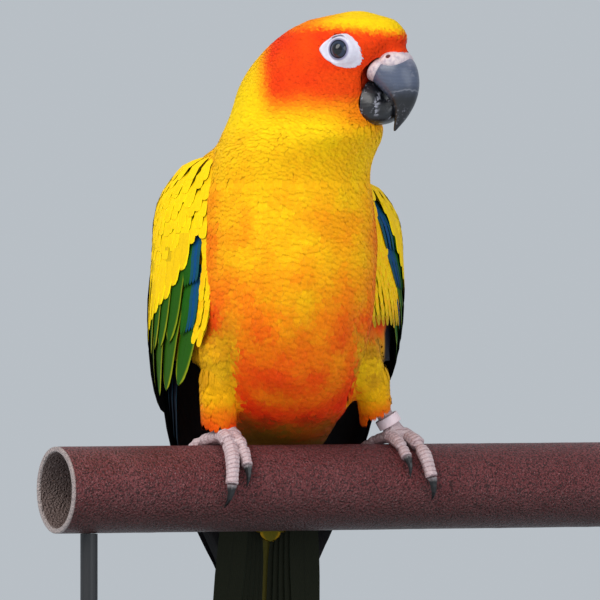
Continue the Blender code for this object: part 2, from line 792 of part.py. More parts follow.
def leg_blockers():
    """What the body, wings and tail stay clear of: the pipe, the shanks and the feet, each with its gap."""
    scene = bpy.context.scene.collection
    blockers = [pipe_cutter(scene)]
    for side_name in ("left", "right"):
        blockers.append(add_object("shank", tarsus_shape(side_name, GAP), scene))
        blockers.append(add_object("sole", sole_shape(side_name, FOOT_CLEARANCE), scene))
    return blockers


def make_leg(side_name, parts, materials, blockers):
    scene = bpy.context.scene.collection
    thigh = add_object("thigh_" + side_name, thigh_shape(side_name), parts, None, materials["plumage_orange"])
    combine(thigh, blockers(), "DIFFERENCE")
    combine(thigh, [add_object("shank", tarsus_shape(side_name, GAP), scene)], "DIFFERENCE")
    foot = add_object("foot_" + side_name, tarsus_shape(side_name), parts, None, materials["foot"])
    pieces = [add_object("sole", press_on_pipe(sole_shape(side_name)), scene)]
    for number, toe in enumerate(TOES[side_name], 1):
        toe_shape, claw_shape = toe_shapes(toe)
        pieces.append(add_object("toe", toe_shape, scene))
        add_object(f"claw_{side_name}_{number}", claw_shape, parts, None, materials["claw"])
    combine(foot, pieces, "UNION", "MANIFOLD")


def make_band(parts, materials):
    """A plain ring on the left leg, tilted as it hangs on the foot."""
    ankle = leg_points("left")[2]
    foot_top = grip_point(FOOT_X["left"], 0.0, PIPE_RADIUS + FOOT_RISE)
    middle = ankle.lerp(foot_top, BAND_DOWN)
    axis = (ankle - foot_top).normalized()
    profile = (
        (BAND_INNER, -BAND_HEIGHT / 2),
        (BAND_OUTER, -BAND_HEIGHT / 2),
        (BAND_OUTER, BAND_HEIGHT / 2),
        (BAND_INNER, BAND_HEIGHT / 2),
    )
    shape = bmesh.new()
    turn = axis.to_track_quat("Z", "Y").to_matrix().to_4x4()
    place = Matrix.Translation(middle) @ turn
    segments = 32
    rows = []
    for k in range(segments):
        around = 2.0 * math.pi * k / segments
        out = Vector((math.cos(around), math.sin(around), 0.0))
        rows.append([shape.verts.new(place @ (out * r + Vector((0.0, 0.0, z)))) for r, z in profile])
    for k in range(segments):
        low = rows[k]
        high = rows[(k + 1) % segments]
        for j in range(4):
            after = (j + 1) % 4
            shape.faces.new((low[j], low[after], high[after], high[j]))
    bmesh.ops.recalc_face_normals(shape, faces=shape.faces)
    return add_object("leg_band", shape, parts, None, materials["band"])


# Perch and stand


def pipe_cylinder(radius, length):
    shape = bmesh.new()
    bmesh.ops.create_cone(
        shape, cap_ends=True, segments=PIPE_SIDES, radius1=radius, radius2=radius, depth=length
    )
    place = Matrix.Translation((0.0, 0.0, PIPE_AXIS_Z)) @ Matrix.Rotation(math.radians(90.0), 4, "Y")
    bmesh.ops.transform(shape, matrix=place, verts=shape.verts)
    return shape


def pipe_cutter(collection):
    return add_object("pipe_cutter", pipe_cylinder(PIPE_RADIUS + GAP, PIPE_LENGTH), collection)


def make_perch(parts, materials):
    scene = bpy.context.scene.collection
    perch = add_object("perch", pipe_cylinder(PIPE_RADIUS, PIPE_LENGTH), parts, None, materials["pipe"])
    bore = add_object("bore", pipe_cylinder(PIPE_RADIUS - PIPE_WALL, PIPE_LENGTH + 10.0 * MM), scene)
    combine(perch, [bore], "DIFFERENCE")


def make_stand(parts, materials):
    scene = bpy.context.scene.collection
    shape = bmesh.new()
    bmesh.ops.create_cube(shape, size=1.0)
    place = Matrix.Translation((0.0, 0.0, BASE_SIZE[2] / 2)) @ Matrix.Diagonal((*BASE_SIZE, 1.0))
    bmesh.ops.transform(shape, matrix=place, verts=shape.verts)
    base = add_object("stand_base", shape, parts, None, materials["stand"])
    bevel = base.modifiers.new("edges", "BEVEL")
    bevel.width = BASE_BEVEL
    bevel.segments = 2
    bake(base)
    bottom = BASE_SIZE[2] + GAP
    for name, x in (("stand_rod_left", -ROD_X), ("stand_rod_right", ROD_X)):
        shape = bmesh.new()
        height = PIPE_AXIS_Z - bottom
        bmesh.ops.create_cone(
            shape, cap_ends=True, segments=ROD_SIDES, radius1=ROD_RADIUS, radius2=ROD_RADIUS, depth=height
        )
        bmesh.ops.translate(shape, vec=(x, 0.0, bottom + height / 2), verts=shape.verts)
        rod = add_object(name, shape, parts, None, materials["stand"])
        combine(rod, [pipe_cutter(scene)], "DIFFERENCE")


def main():
    clear_scene()
    parts = bpy.data.collections.new("sun_conure")
    scene = bpy.context.scene.collection
    scene.children.link(parts)
    materials = {name: make_material(name) for name in MATERIALS}
    bird = bpy.data.objects.new("bird", None)
    bird.location = (BIRD_X, 0.0, PERCH_TOP)
    bird.rotation_euler = (0.0, 0.0, BIRD_TURN)
    parts.objects.link(bird)
    bpy.context.view_layer.update()

    def body_blocker():
        return add_object("body", body_length(TAIL_CUT - 0.3, 130.0, TRUNK_STEP, 0.3), scene, bird)

    def wing_blockers():
        thighs = [add_object("thigh", thigh_shape(side, GAP), scene) for side in ("left", "right")]
        return [body_blocker(), *thighs, *leg_blockers()]

    make_head(parts, bird, materials)
    make_eyes(parts, bird, materials)
    make_bill(parts, bird, materials)
    for side_name in ("left", "right"):
        make_wing(side_name, parts, bird, materials, wing_blockers)
        make_leg(side_name, parts, materials, lambda: [body_blocker(), pipe_cutter(scene)])
    make_tail(parts, bird, materials, lambda: [body_blocker(), pipe_cutter(scene)])
    make_band(parts, materials)
    make_perch(parts, materials)
    make_stand(parts, materials)


main()
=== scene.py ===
"""The looks of a life-size sun conure on a cut length of painted pipe, held up by a plain display stand.

Places on the bird are in millimetres in the bird's own frame: its origin is on top of the pipe between the
feet, +X is the bird's left, +Y its back and +Z up. The head has an axis of its own, which leaves the neck's
pivot at the head's turn. Every finished mesh is in metres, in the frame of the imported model.
"""

import sys

import json
import math

import bmesh
import bpy
import numpy as np
from mathutils import Matrix, Vector
from mathutils.bvhtree import BVHTree
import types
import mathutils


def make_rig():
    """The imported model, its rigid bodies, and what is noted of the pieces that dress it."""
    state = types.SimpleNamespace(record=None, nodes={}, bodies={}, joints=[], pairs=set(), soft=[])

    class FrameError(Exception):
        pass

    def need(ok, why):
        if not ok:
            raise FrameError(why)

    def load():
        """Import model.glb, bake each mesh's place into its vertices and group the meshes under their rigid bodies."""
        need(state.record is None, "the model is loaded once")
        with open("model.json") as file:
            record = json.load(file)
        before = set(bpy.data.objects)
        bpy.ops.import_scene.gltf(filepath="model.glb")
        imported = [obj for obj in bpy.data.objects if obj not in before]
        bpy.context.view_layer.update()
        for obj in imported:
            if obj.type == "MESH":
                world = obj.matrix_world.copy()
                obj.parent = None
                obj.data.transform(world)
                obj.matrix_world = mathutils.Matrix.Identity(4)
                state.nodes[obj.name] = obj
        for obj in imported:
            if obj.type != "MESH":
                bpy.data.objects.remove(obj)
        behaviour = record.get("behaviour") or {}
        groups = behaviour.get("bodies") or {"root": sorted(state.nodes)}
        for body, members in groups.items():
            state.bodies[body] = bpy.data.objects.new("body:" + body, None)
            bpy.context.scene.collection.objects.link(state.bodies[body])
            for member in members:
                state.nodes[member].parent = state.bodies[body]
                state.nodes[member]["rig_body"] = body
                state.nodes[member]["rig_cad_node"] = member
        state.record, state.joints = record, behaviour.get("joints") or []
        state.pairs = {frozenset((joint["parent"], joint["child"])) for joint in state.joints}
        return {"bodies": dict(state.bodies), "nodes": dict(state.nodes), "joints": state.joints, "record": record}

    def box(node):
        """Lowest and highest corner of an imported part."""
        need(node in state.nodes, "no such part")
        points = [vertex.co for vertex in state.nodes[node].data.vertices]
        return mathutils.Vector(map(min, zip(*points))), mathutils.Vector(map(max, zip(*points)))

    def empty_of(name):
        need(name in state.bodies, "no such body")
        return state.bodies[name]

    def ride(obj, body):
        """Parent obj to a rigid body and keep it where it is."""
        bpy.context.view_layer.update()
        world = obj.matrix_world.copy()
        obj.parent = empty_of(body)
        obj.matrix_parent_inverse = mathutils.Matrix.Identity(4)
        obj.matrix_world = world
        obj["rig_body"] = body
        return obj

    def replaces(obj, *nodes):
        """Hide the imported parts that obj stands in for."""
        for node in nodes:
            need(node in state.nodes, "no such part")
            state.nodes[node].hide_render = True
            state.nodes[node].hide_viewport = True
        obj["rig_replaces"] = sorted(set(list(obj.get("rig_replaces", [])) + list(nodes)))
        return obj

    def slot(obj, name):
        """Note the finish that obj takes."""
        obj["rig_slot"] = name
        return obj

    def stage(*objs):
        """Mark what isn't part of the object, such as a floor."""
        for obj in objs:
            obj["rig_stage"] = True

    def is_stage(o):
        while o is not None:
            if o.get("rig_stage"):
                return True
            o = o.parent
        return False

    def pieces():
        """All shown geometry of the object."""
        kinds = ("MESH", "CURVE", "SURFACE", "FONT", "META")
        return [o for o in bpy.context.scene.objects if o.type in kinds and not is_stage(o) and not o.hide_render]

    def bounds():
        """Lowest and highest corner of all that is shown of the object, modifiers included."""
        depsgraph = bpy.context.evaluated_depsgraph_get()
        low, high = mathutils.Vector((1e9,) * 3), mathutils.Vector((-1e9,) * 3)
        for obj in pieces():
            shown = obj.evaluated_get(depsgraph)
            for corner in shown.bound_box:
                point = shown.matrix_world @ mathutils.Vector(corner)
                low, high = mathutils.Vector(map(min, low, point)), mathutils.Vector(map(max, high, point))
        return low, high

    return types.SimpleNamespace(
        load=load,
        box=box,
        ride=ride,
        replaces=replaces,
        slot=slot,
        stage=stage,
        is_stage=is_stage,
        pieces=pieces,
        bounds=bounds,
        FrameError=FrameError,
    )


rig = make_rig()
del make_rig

bl_info = {
    "name": "Sun Conure",
    "version": (1, 0, 0),
    "blender": (4, 5, 0),
    "location": "View3D > Sidebar > Conure",
    "description": "Builds the plumage, bill, eyes and feet of a sun conure, its perch and its stage",
    "category": "Object",
}

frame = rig.load()
CAD_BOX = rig.bounds()
MM = 0.001

# Where the bird stands, from the pipe, and how it and its head are turned
PIPE_LOW, PIPE_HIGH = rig.box("perch")
PIPE_RADIUS = (PIPE_HIGH.z - PIPE_LOW.z) / 2
PIPE_AXIS_Z = (PIPE_HIGH.z + PIPE_LOW.z) / 2
BIRD_X = -29.3
BIRD_TURN = math.radians(-15.0)
HEAD_TURN = math.radians(50.0)
HEAD_PIVOT = (0.0, -5.0)
HEAD_AHEAD = np.array([math.sin(HEAD_TURN), -math.cos(HEAD_TURN), 0.0])
HEAD_LEFT = np.array([math.cos(HEAD_TURN), math.sin(HEAD_TURN), 0.0])
BIRD_PLACE = Matrix.Translation((BIRD_X * MM, 0.0, PIPE_HIGH.z)) @ Matrix.Rotation(BIRD_TURN, 4, "Z")
BIRD_PLACE = BIRD_PLACE @ Matrix.Scale(MM, 4)
TURN = np.array(Matrix.Rotation(BIRD_TURN, 3, "Z"))
SIGN = {"left": 1, "right": -1}
FLESH = ("head", "neck", "torso", "thigh_left", "thigh_right")

# Folded wing: guide curves by height, each (leading x, leading y, trailing x, trailing y, bulge between them)
WING = {
    98.0: (24.5, -1.0, 19.0, 10.0, 3.5),
    92.0: (27.5, -5.0, 15.5, 17.5, 12.5),
    80.0: (29.5, -8.0, 11.0, 24.5, 23.5),
    62.0: (30.0, -9.0, 7.5, 28.0, 27.5),
    45.0: (31.0, -8.0, 5.5, 30.0, 28.5),
    30.0: (33.0, -4.0, 5.0, 32.0, 26.5),
    15.0: (34.6, 4.0, 6.5, 34.5, 21.0),
    0.0: (34.5, 15.0, 10.5, 37.5, 13.5),
    -20.0: (29.5, 28.0, 15.0, 40.5, 6.0),
    -42.0: (23.5, 37.0, 19.0, 42.0, 2.0),
}
WING_ROWS = [(height, *row) for height, row in sorted(WING.items())]
WING_TOP = max(WING)
WING_BOTTOM = min(WING)
WING_RAISE = {"left": -3.0, "right": 5.5}
WING_OUT = 2.5
WING_BACK = {"left": 7.0, "right": 0.0}
WING_BULGE = {"left": 1.03, "right": 0.92}
# How far down each wing the yellow coverts reach, by place across it
COVERT_REACH = {
    "left": ((0.05, 0.1, 0.17, 0.215, 0.285, 0.35, 0.5), (0.10, 0.14, 0.20, 0.245, 0.29, 0.34, 0.43)),
    "right": ((0.03, 0.065, 0.15, 0.25, 0.35, 0.45), (0.235, 0.26, 0.33, 0.38, 0.42, 0.47)),
}
# Where the blue streak starts, by place down the wing, and where each row of its feathers starts and ends
STREAK = {
    "left": ((0.1, 0.14, 0.19, 0.236, 0.283, 0.336, 0.4), (0.0, 0.02, 0.06, 0.10, 0.15, 0.20, 0.24)),
    "right": ((0.15, 0.3, 0.42), (0.03, 0.022, 0.014)),
}
STREAK_ROWS = {"left": ((0.06, 0.20), (0.14, 0.30), (0.24, 0.41)), "right": ((0.19, 0.31), (0.27, 0.42))}

# Tail
TAIL_ROOT = np.array([0.0, 26.3, -12.3])
TAIL_SLOPE = math.radians(10.0)
TAIL_DOWN = np.array([0.0, math.sin(TAIL_SLOPE), -math.cos(TAIL_SLOPE)])
TAIL_BACK = np.array([0.0, math.cos(TAIL_SLOPE), math.sin(TAIL_SLOPE)])
TAIL_LENGTHS = (121.0, 113.0, 100.0, 86.0, 73.0, 61.0)
# Rows of coverts over and under the tail's root: how many, their start, their length and how far off the tail
COVERT_ROWS = ((7, -2.0, 30.0, 5.4), (6, -4.0, 21.0, 6.2), (5, -6.0, 13.0, 6.8))

# Thighs: hip and knee; ankles are along X of the whole model, over the pipe
THIGH = {
    "left": ((16.0, 0.0, 45.0), (27.5, -5.0, 26.0)),
    "right": ((-15.0, -2.0, 45.0), (-30.5, -8.5, 24.0)),
}
ANKLE = {"left": (9.0, 1.8, 13.2), "right": (-51.0, 2.4, 10.5)}
THIGH_RADII = (9.0, 13.0, 5.0)
THIGH_SLIMMER = {"left": 1.2, "right": 3.0}
# Where the cuff of longer feathers starts and ends, and how thick it is at both
CUFF = {
    "left": ((31.3, 2.0, 24.0), (34.3, 9.9, 11.6), 6.4, 5.6),
    "right": ((-24.8, -5.2, 24.0), (-24.0, -2.8, 4.2), 6.8, 6.0),
}
CUFF_FEATHER = 6.6

# Head: eyes, the bare skin round them as (forward, up) from the eye, and the bill's guide rows
EYE_ALONG = 28.0
EYE_HEIGHT = 137.0
EYE_IN = 12.9
EYE_RADIUS = 3.9
BARE_PATCH = (
    (-7.5, 0.1), (-4.0, 3.6), (-0.4, 5.1), (2.2, 5.3), (4.9, 3.4), (6.7, 0.1),
    (7.0, -3.3), (5.3, -6.0), (0.4, -6.3), (-3.3, -4.4), (-6.4, -1.7),
)
# Bill rows: (along, height, slope in degrees, half depth, half width)
UPPER_BILL = (
    (34.4, 130.8, -24.0, 3.6, 4.8),
    (36.6, 130.6, -32.7, 4.9, 6.5),
    (40.6, 129.3, -29.6, 6.8, 7.6),
    (44.4, 126.6, -31.6, 7.7, 7.0),
    (46.2, 122.1, -44.7, 6.4, 5.5),
    (45.9, 117.5, -60.6, 4.5, 3.9),
    (44.6, 113.4, -66.0, 2.8, 2.4),
    (42.5, 109.9, -77.0, 0.9, 0.9),
    (41.9, 108.9, -88.0, 0.3, 0.3),
)
LOWER_BILL = (
    (32.4, 118.7, -4.0, 7.8, 7.6),
    (36.4, 117.3, -8.0, 6.4, 7.2),
    (39.6, 116.9, 18.0, 4.6, 5.6),
    (41.4, 118.2, 45.0, 2.6, 3.8),
    (42.0, 119.8, 62.0, 1.1, 2.2),
)
CERE_COLLAR = (
    (35.0, 130.9, -30.0, 4.0, 6.2),
    (35.8, 130.8, -32.0, 5.2, 7.4),
    (37.1, 130.6, -32.7, 5.5, 7.8),
    (38.3, 130.2, -32.0, 5.6, 7.8),
    (39.1, 129.9, -31.0, 5.2, 7.2),
)
# The lid's rings as (radius, out from the head's middle), then those of the bare skin round them as shares of
# its reach from BARE_START and how far they stand out from the skin there
LID = ((2.6, 14.7), (2.95, 15.2), (3.12, 15.4), (3.35, 15.52), (3.7, 15.45), (4.05, 15.2))
BARE_START = 4.3
SURROUND = (
    (0.12, 0.8), (0.28, 1.0), (0.42, 0.85), (0.58, 0.9), (0.78, 0.75), (0.92, 0.55), (1.02, 0.2), (1.1, -0.5),
)
# Where feathers stop behind the bill, as how far along the head by height
FEATHERS_STOP = (
    (113.0, 118.0, 124.0, 127.0, 131.0, 134.0, 136.0),
    (34.5, 33.8, 35.2, 37.2, 40.0, 42.0, 45.4),
)
# The cere's pad and a nostril: along the head, to its left and up
CERE_MIDDLE = np.array([42.3, 0.0, 132.8])
CERE_RADII = np.array([6.0, 7.4, 4.4])
NOSTRIL = (42.6, 6.3, 134.5)
NOSTRIL_BARE = 2.7
NOSTRIL_DEPTH = 0.45

# How far the skin is swollen before it is remeshed, a flight feather's thickness and the pipe's wall
SKIN_SWELL = 0.35
FLIGHT_THICK = 0.32
PIPE_WALL = 1.8

# The photo's view, in metres: to its right, back to the camera, and the middle of the picture
VIEW_RIGHT = Vector((0.891, -0.454, 0.0)).normalized()
VIEW_BACK = Vector((-0.454, -0.891, 0.0)).normalized()
VIEW_MIDDLE = VIEW_RIGHT * -0.0208 + Vector((0.0, 0.0, 0.19845))
KEY_PLACE = VIEW_BACK * 1.1 - VIEW_RIGHT * 0.9 + Vector((0.0, 0.0, 1.35))
FILL_PLACE = VIEW_BACK * 1.3 + VIEW_RIGHT * 1.2 + Vector((0.0, 0.0, 0.6))
LIGHTS_AIM = Vector((0.0, 0.0, 0.22))
VIEW_LENS = 548.6
VIEW_DISTANCE = 3.2
FLOOR_RADIUS = 2.4


def srgb(red, green, blue):
    """A colour from 0 to 255 a channel, as the linear numbers that Blender takes."""
    values = np.array([red, green, blue]) / 255.0
    return tuple(np.where(values <= 0.04045, values / 12.92, ((values + 0.055) / 1.055) ** 2.4))


def color_property(name, description, default):
    return bpy.props.FloatVectorProperty(
        name=name, description=description, default=default, subtype="COLOR", size=3, min=0.0, max=1.0
    )


def length_property(name, description, default):
    return bpy.props.FloatProperty(
        name=name, description=description, default=default, unit="LENGTH", subtype="DISTANCE", min=0.0
    )


class PlumageColors(bpy.types.PropertyGroup):
    lemon: color_property("Lemon", "Palest yellow of crown and mantle", srgb(255, 226, 0))
    yellow: color_property("Yellow", "Yellow of nape and breast", srgb(255, 205, 0))
    gold: color_property("Gold", "Golden yellow of the breast", srgb(255, 180, 0))
    orange: color_property("Orange", "Orange of flanks and cheeks", srgb(252, 134, 0))
    flame: color_property("Flame", "Orange-red of belly and face", srgb(246, 80, 0))
    red: color_property("Red", "Red round eye and bill", srgb(238, 46, 0))
    # The brown-red that the lowest belly and the vent reach is partly painted shade
    rust: color_property("Rust", "Brown-red of the vent", srgb(150, 48, 5))
    olive: color_property("Olive", "Olive of thighs, undertail and covert centres", srgb(98, 88, 12))
    green: color_property("Green", "Green of secondaries and greater coverts", srgb(24, 84, 4))
    leaf: color_property("Leaf", "Lighter green along feather edges", srgb(72, 132, 14))
    blue: color_property("Blue", "Blue of primary coverts and primaries", srgb(0, 66, 116))
    ink: color_property("Ink", "Blue-black of the primaries", srgb(12, 15, 28))
    # The underside is near black: the flight feathers' own dark grey, darkened further as painted shade for the gaps
    # between the feathers
    under: color_property("Underside", "Grey-brown underside of the flight feathers", srgb(34, 31, 34))


class CoatSizes(bpy.types.PropertyGroup):
    depth: length_property("Coat depth", "From the skin out to the outline of the body's coat", 0.95 * MM)
    face_depth: length_property("Face depth", "The same on the face, where feathers are smallest", 0.6 * MM)
    voxel: length_property("Skin grain", "Size of the skin's faces", 1.0 * MM)
    seed: bpy.props.IntProperty(name="Seed", description="Seed of every random draw", default=7, min=0)


class HardColors(bpy.types.PropertyGroup):
    bill_light: color_property("Bill", "Slate grey of the bill's upper part", srgb(76, 84, 104))
    bill_dark: color_property("Bill tip", "Dark grey of the bill's tip and lower half", srgb(16, 17, 22))
    bare_skin: color_property("Bare skin", "White skin round the eye", srgb(222, 222, 232))
    cere: color_property("Cere", "Pinkish white skin over the bill", srgb(214, 196, 196))
    foot: color_property("Feet", "Pinkish grey of the toes", srgb(196, 172, 174))
    claw: color_property("Claws", "Black of the claws", srgb(12, 12, 14))
    band: color_property("Leg band", "Pale pink of the plain leg band", srgb(232, 208, 212))
    paint: color_property("Pipe paint", "Maroon of the pipe's paint", srgb(116, 50, 52))
    stand: color_property("Stand", "Black paint of the display stand", srgb(34, 34, 36))


class StageSettings(bpy.types.PropertyGroup):
    floor: color_property("Floor", "Pale floor", (0.62, 0.66, 0.70))
    distance: length_property("Camera distance", "From the camera to the middle of the view", VIEW_DISTANCE)
    key: bpy.props.FloatProperty(name="Key light", description="Power of the main light", default=30.0)
    fill: bpy.props.FloatProperty(name="Fill light", description="Power of the filling light", default=10.0)


def plumage():
    return bpy.context.scene.conure_plumage


def coat():
    return bpy.context.scene.conure_coat


def hard():
    return bpy.context.scene.conure_hard


def stage_settings():
    return bpy.context.scene.conure_stage


# Small sums on arrays


def ease(value, start, end):
    t = np.clip((np.asarray(value, float) - start) / (end - start), 0.0, 1.0)
    return t * t * (3.0 - 2.0 * t)


def unit(vectors):
    return vectors / np.maximum(np.linalg.norm(vectors, axis=-1, keepdims=True), 1e-9)


def to_frame(points):
    """Points in the bird's frame, in mm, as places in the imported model's frame, in metres."""
    place = np.array(BIRD_PLACE)
    return points @ place[:3, :3].T + place[:3, 3]


def to_bird(points):
    place = np.array(BIRD_PLACE.inverted())
    return points @ place[:3, :3].T + place[:3, 3]


def head_places(points):
    """How far points are along the head's axis, how far to its left, and how high."""
    flat = points - np.array([*HEAD_PIVOT, 0.0])
    return flat @ HEAD_AHEAD, flat @ HEAD_LEFT, points[..., 2]


def head_point(along, left, height):
    return np.array([*HEAD_PIVOT, height]) + HEAD_AHEAD * along + HEAD_LEFT * left


def nostril_gap(places, sign, raised=0.0):
    """How far places on the head are from a nostril, or from a place raised over it."""
    along, left, height = places
    across = (along - NOSTRIL[0]) ** 2 + (left - sign * NOSTRIL[1]) ** 2
    return np.sqrt(across + (height - NOSTRIL[2] - raised) ** 2)


def smooth_rows(table, at):
    """Rows of a table at many places, along a cubic through its rows, which are (place, values)."""
    keys = np.array([row[0] for row in table], float)
    rows = np.array([row[1:] for row in table], float)
    before = np.maximum(np.arange(len(keys)) - 1, 0)
    after = np.minimum(np.arange(len(keys)) + 1, len(keys) - 1)
    slopes = (rows[after] - rows[before]) / (keys[after] - keys[before])[:, None]
    at = np.clip(np.asarray(at, float), keys[0], keys[-1])
    low = np.clip(np.searchsorted(keys, at, side="right") - 1, 0, len(keys) - 2)
    span = keys[low + 1] - keys[low]
    t = ((at - keys[low]) / span)[..., None]
    span = span[..., None]
    found = (2 * t**3 - 3 * t**2 + 1) * rows[low] + (3 * t**2 - 2 * t**3) * rows[low + 1]
    return found + span * ((t**3 - 2 * t**2 + t) * slopes[low] + (t**3 - t**2) * slopes[low + 1])


def flat_to(vectors, ups):
    """Directions laid flat on a surface with the given normals."""
    return unit(vectors - ups * np.einsum("ij,ij->i", vectors, ups)[:, None])


def lattice_noise(points, size, seed):
    """Smooth noise from 0 to 1 over places, with lumps of the given size."""
    scaled = points / size + seed * 17.31
    cell = np.floor(scaled)
    t = scaled - cell
    t = t * t * (3.0 - 2.0 * t)
    total = np.zeros(points.shape[:-1])
    for corner in range(8):
        step = np.array([corner & 1, corner >> 1 & 1, corner >> 2 & 1])
        at = cell + step
        value = np.sin(at @ np.array([127.1, 311.7, 74.7]) + seed * 5.1) * 43758.5453
        weight = np.prod(np.where(step == 1, t, 1.0 - t), axis=-1)
        total += (value - np.floor(value)) * weight
    return total


# Plumage markings


def warm_color(warmth):
    """A colour on the bird's scale from lemon yellow at 0 to brown-red at 1."""
    colors = plumage()
    steps = (0.0, 0.16, 0.32, 0.52, 0.72, 0.88, 1.0)
    names = ("lemon", "yellow", "gold", "orange", "flame", "red", "rust")
    table = np.array([getattr(colors, name) for name in names])
    return np.stack([np.interp(warmth, steps, table[:, channel]) for channel in range(3)], axis=-1)


def blend_colors(first, second, share):
    share = np.clip(np.asarray(share, float), 0.0, 1.0)[..., None]
    return np.asarray(first) * (1.0 - share) + np.asarray(second) * share


def markings(points):
    """Colour of the body's coat: red face, yellow crown, nape and breast, orange belly and flanks."""
    along, _, height = head_places(points)
    x, y = points[..., 0], points[..., 1]
    around = np.degrees(np.abs(np.arctan2(x, -(y + 1.0))))
    lumps = lattice_noise(points, 7.0, 3) - 0.5
    fine = lattice_noise(points, 2.6, 5) - 0.5
    # Head
    red_top = np.interp(along, (5.0, 14.0, 25.0, 33.0, 42.0), (143.6, 144.6, 144.8, 144.4, 143.4))
    face = ease(height, 108.0, 125.0) * ease(along + 0.25 * (height - 120.0), -6.0, 5.0)
    face = face * (1.0 - ease(height, red_top - 2.5, red_top + 2.5))
    crown = 0.52 - 0.38 * ease(along, 10.0, 28.0)
    nape = 0.12 + 0.14 * ease(height, 120.0, 140.0)
    head_base = nape + (crown - nape) * ease(height, 136.0, 144.0)
    head = head_base + (0.80 - head_base) * face + 0.14 * lumps * face
    throat = ease(along, 22.0, 34.0) * ease(height, 94.0, 104.0) * (1.0 - ease(height, 114.0, 122.0))
    head = head + (0.60 - head) * 0.8 * throat
    # Body
    levels = (-10.0, 4.0, 16.0, 30.0, 44.0, 56.0, 70.0, 84.0, 98.0, 112.0)
    tones = (0.86, 0.80, 0.70, 0.62, 0.54, 0.45, 0.36, 0.30, 0.25, 0.22)
    body = np.interp(height, levels, tones)
    flank = ease(around, 34.0, 74.0) * (1.0 - ease(around, 95.0, 120.0))
    body = body + 0.12 * flank * (1.0 - ease(height, 78.0, 102.0))
    # Painted highlight: the middle of the breast is made yellower and lighter
    middle = 1.0 - ease(around, 10.0, 34.0)
    body = body - 0.10 * middle * ease(height, 34.0, 44.0) * (1.0 - ease(height, 62.0, 74.0))
    body = body + 0.26 * lumps * (1.0 - 0.5 * ease(height, 74.0, 96.0)) + 0.07 * fine
    back = ease(around, 100.0, 128.0) * ease(height, 4.0, 22.0)
    upper = 0.10 + 0.22 * (1.0 - ease(height, 10.0, 50.0)) + 0.18 * lumps
    body = body + (upper - body) * back
    color = warm_color(body + (head - body) * ease(height, 104.0, 114.0))
    # Towards the vent the coat turns olive: partly the vent's own olive, partly painted shade under the body
    vent = 1.0 - ease(height + 8.0 * lumps, 0.0, 12.0)
    color = blend_colors(color, plumage().olive, 0.85 * vent)
    from_thigh = thigh_inward(points)
    share = (1.0 - ease(from_thigh, 4.4, 7.8)) * (1.0 - ease(height + 10.0 * lumps, 30.0, 44.0))
    return blend_colors(color, thigh_color(points), share * (1.0 - back))


def thigh_inward(points):
    """How far places are from a thigh's middle towards the belly, as seen from in front."""
    across = points[..., 0] - 0.21 * points[..., 1]
    return np.where(across > 4.0, 31.5 - across, across + 23.4)


def thigh_color(points):
    """Thighs go from orange through olive-yellow to an orange cuff with a red edge."""
    height = points[..., 2]
    lumps = lattice_noise(points, 5.0, 9) - 0.5
    warmth = np.interp(height, (5.0, 9.0, 14.0, 25.0, 40.0), (0.74, 0.60, 0.36, 0.28, 0.40)) + 0.20 * lumps
    olive = ease(height, 14.0, 22.0) * (1.0 - ease(height, 40.0, 48.0))
    return blend_colors(warm_color(warmth), plumage().olive, 0.34 * olive * (1.0 + 1.6 * lumps))


def thigh_markings(points):
    """The colour of a thigh's own coat, which turns into the belly's on its inner side."""
    height = points[..., 2]
    inner = ease(thigh_inward(points), 4.6, 7.4) * ease(height, 10.0, 18.0)
    return blend_colors(thigh_color(points), markings(points), np.maximum(inner, ease(height, 30.0, 40.0)))


# Meshes


def deselect():
    if bpy.context.mode != "OBJECT":
        bpy.ops.object.mode_set(mode="OBJECT")
    bpy.ops.object.select_all(action="DESELECT")


def pick(piece):
    deselect()
    piece.select_set(True)
    bpy.context.view_layer.objects.active = piece


def mesh_from_arrays(name, points, tris):
    mesh = bpy.data.meshes.new(name)
    mesh.vertices.add(len(points))
    mesh.vertices.foreach_set("co", np.asarray(points, np.float32).ravel())
    mesh.loops.add(3 * len(tris))
    mesh.loops.foreach_set("vertex_index", np.asarray(tris, np.int32).ravel())
    mesh.polygons.add(len(tris))
    mesh.polygons.foreach_set("loop_start", np.arange(0, 3 * len(tris), 3, dtype=np.int32))
    mesh.update(calc_edges=True)
    piece = bpy.data.objects.new(name, mesh)
    bpy.context.scene.collection.objects.link(piece)
    return piece


def vectors_of(piece, field):
    values = np.empty(3 * len(piece.data.vertices), np.float32)
    piece.data.vertices.foreach_get(field, values)
    return values.reshape(-1, 3).astype(float)


def points_of(piece):
    return vectors_of(piece, "co")


def normals_of(piece):
    return vectors_of(piece, "normal")


def set_points(piece, points):
    piece.data.vertices.foreach_set("co", np.asarray(points, np.float32).ravel())
    piece.data.update()


def tris_of(piece):
    piece.data.calc_loop_triangles()
    tris = np.empty(3 * len(piece.data.loop_triangles), np.int32)
    piece.data.loop_triangles.foreach_get("vertices", tris)
    return tris.reshape(-1, 3)


def set_attribute(piece, name, values, kind="FLOAT_COLOR"):
    attribute = piece.data.attributes.new(name, kind, "POINT")
    field = {"FLOAT_COLOR": "color", "FLOAT_VECTOR": "vector", "FLOAT": "value"}[kind]
    if kind == "FLOAT_COLOR":
        values = np.concatenate([values, np.ones((len(values), 1))], axis=1)
    attribute.data.foreach_set(field, np.asarray(values, np.float32).ravel())


def modify(piece, kind, **settings):
    """Adds a modifier and applies it."""
    pick(piece)
    modifier = piece.modifiers.new(kind.lower(), kind)
    for key, value in settings.items():
        setattr(modifier, key, value)
    bpy.ops.object.modifier_apply(modifier=modifier.name)


def remesh(piece, voxel, rounds):
    """Makes one even closed body of all that a piece holds, and smooths it."""
    modify(piece, "REMESH", mode="VOXEL", voxel_size=voxel)
    modify(piece, "SMOOTH", factor=0.5, iterations=rounds)


def join(pieces, name):
    deselect()
    for piece in pieces:
        piece.select_set(True)
    bpy.context.view_layer.objects.active = pieces[0]
    bpy.ops.object.join()
    pieces[0].name = name
    return pieces[0]


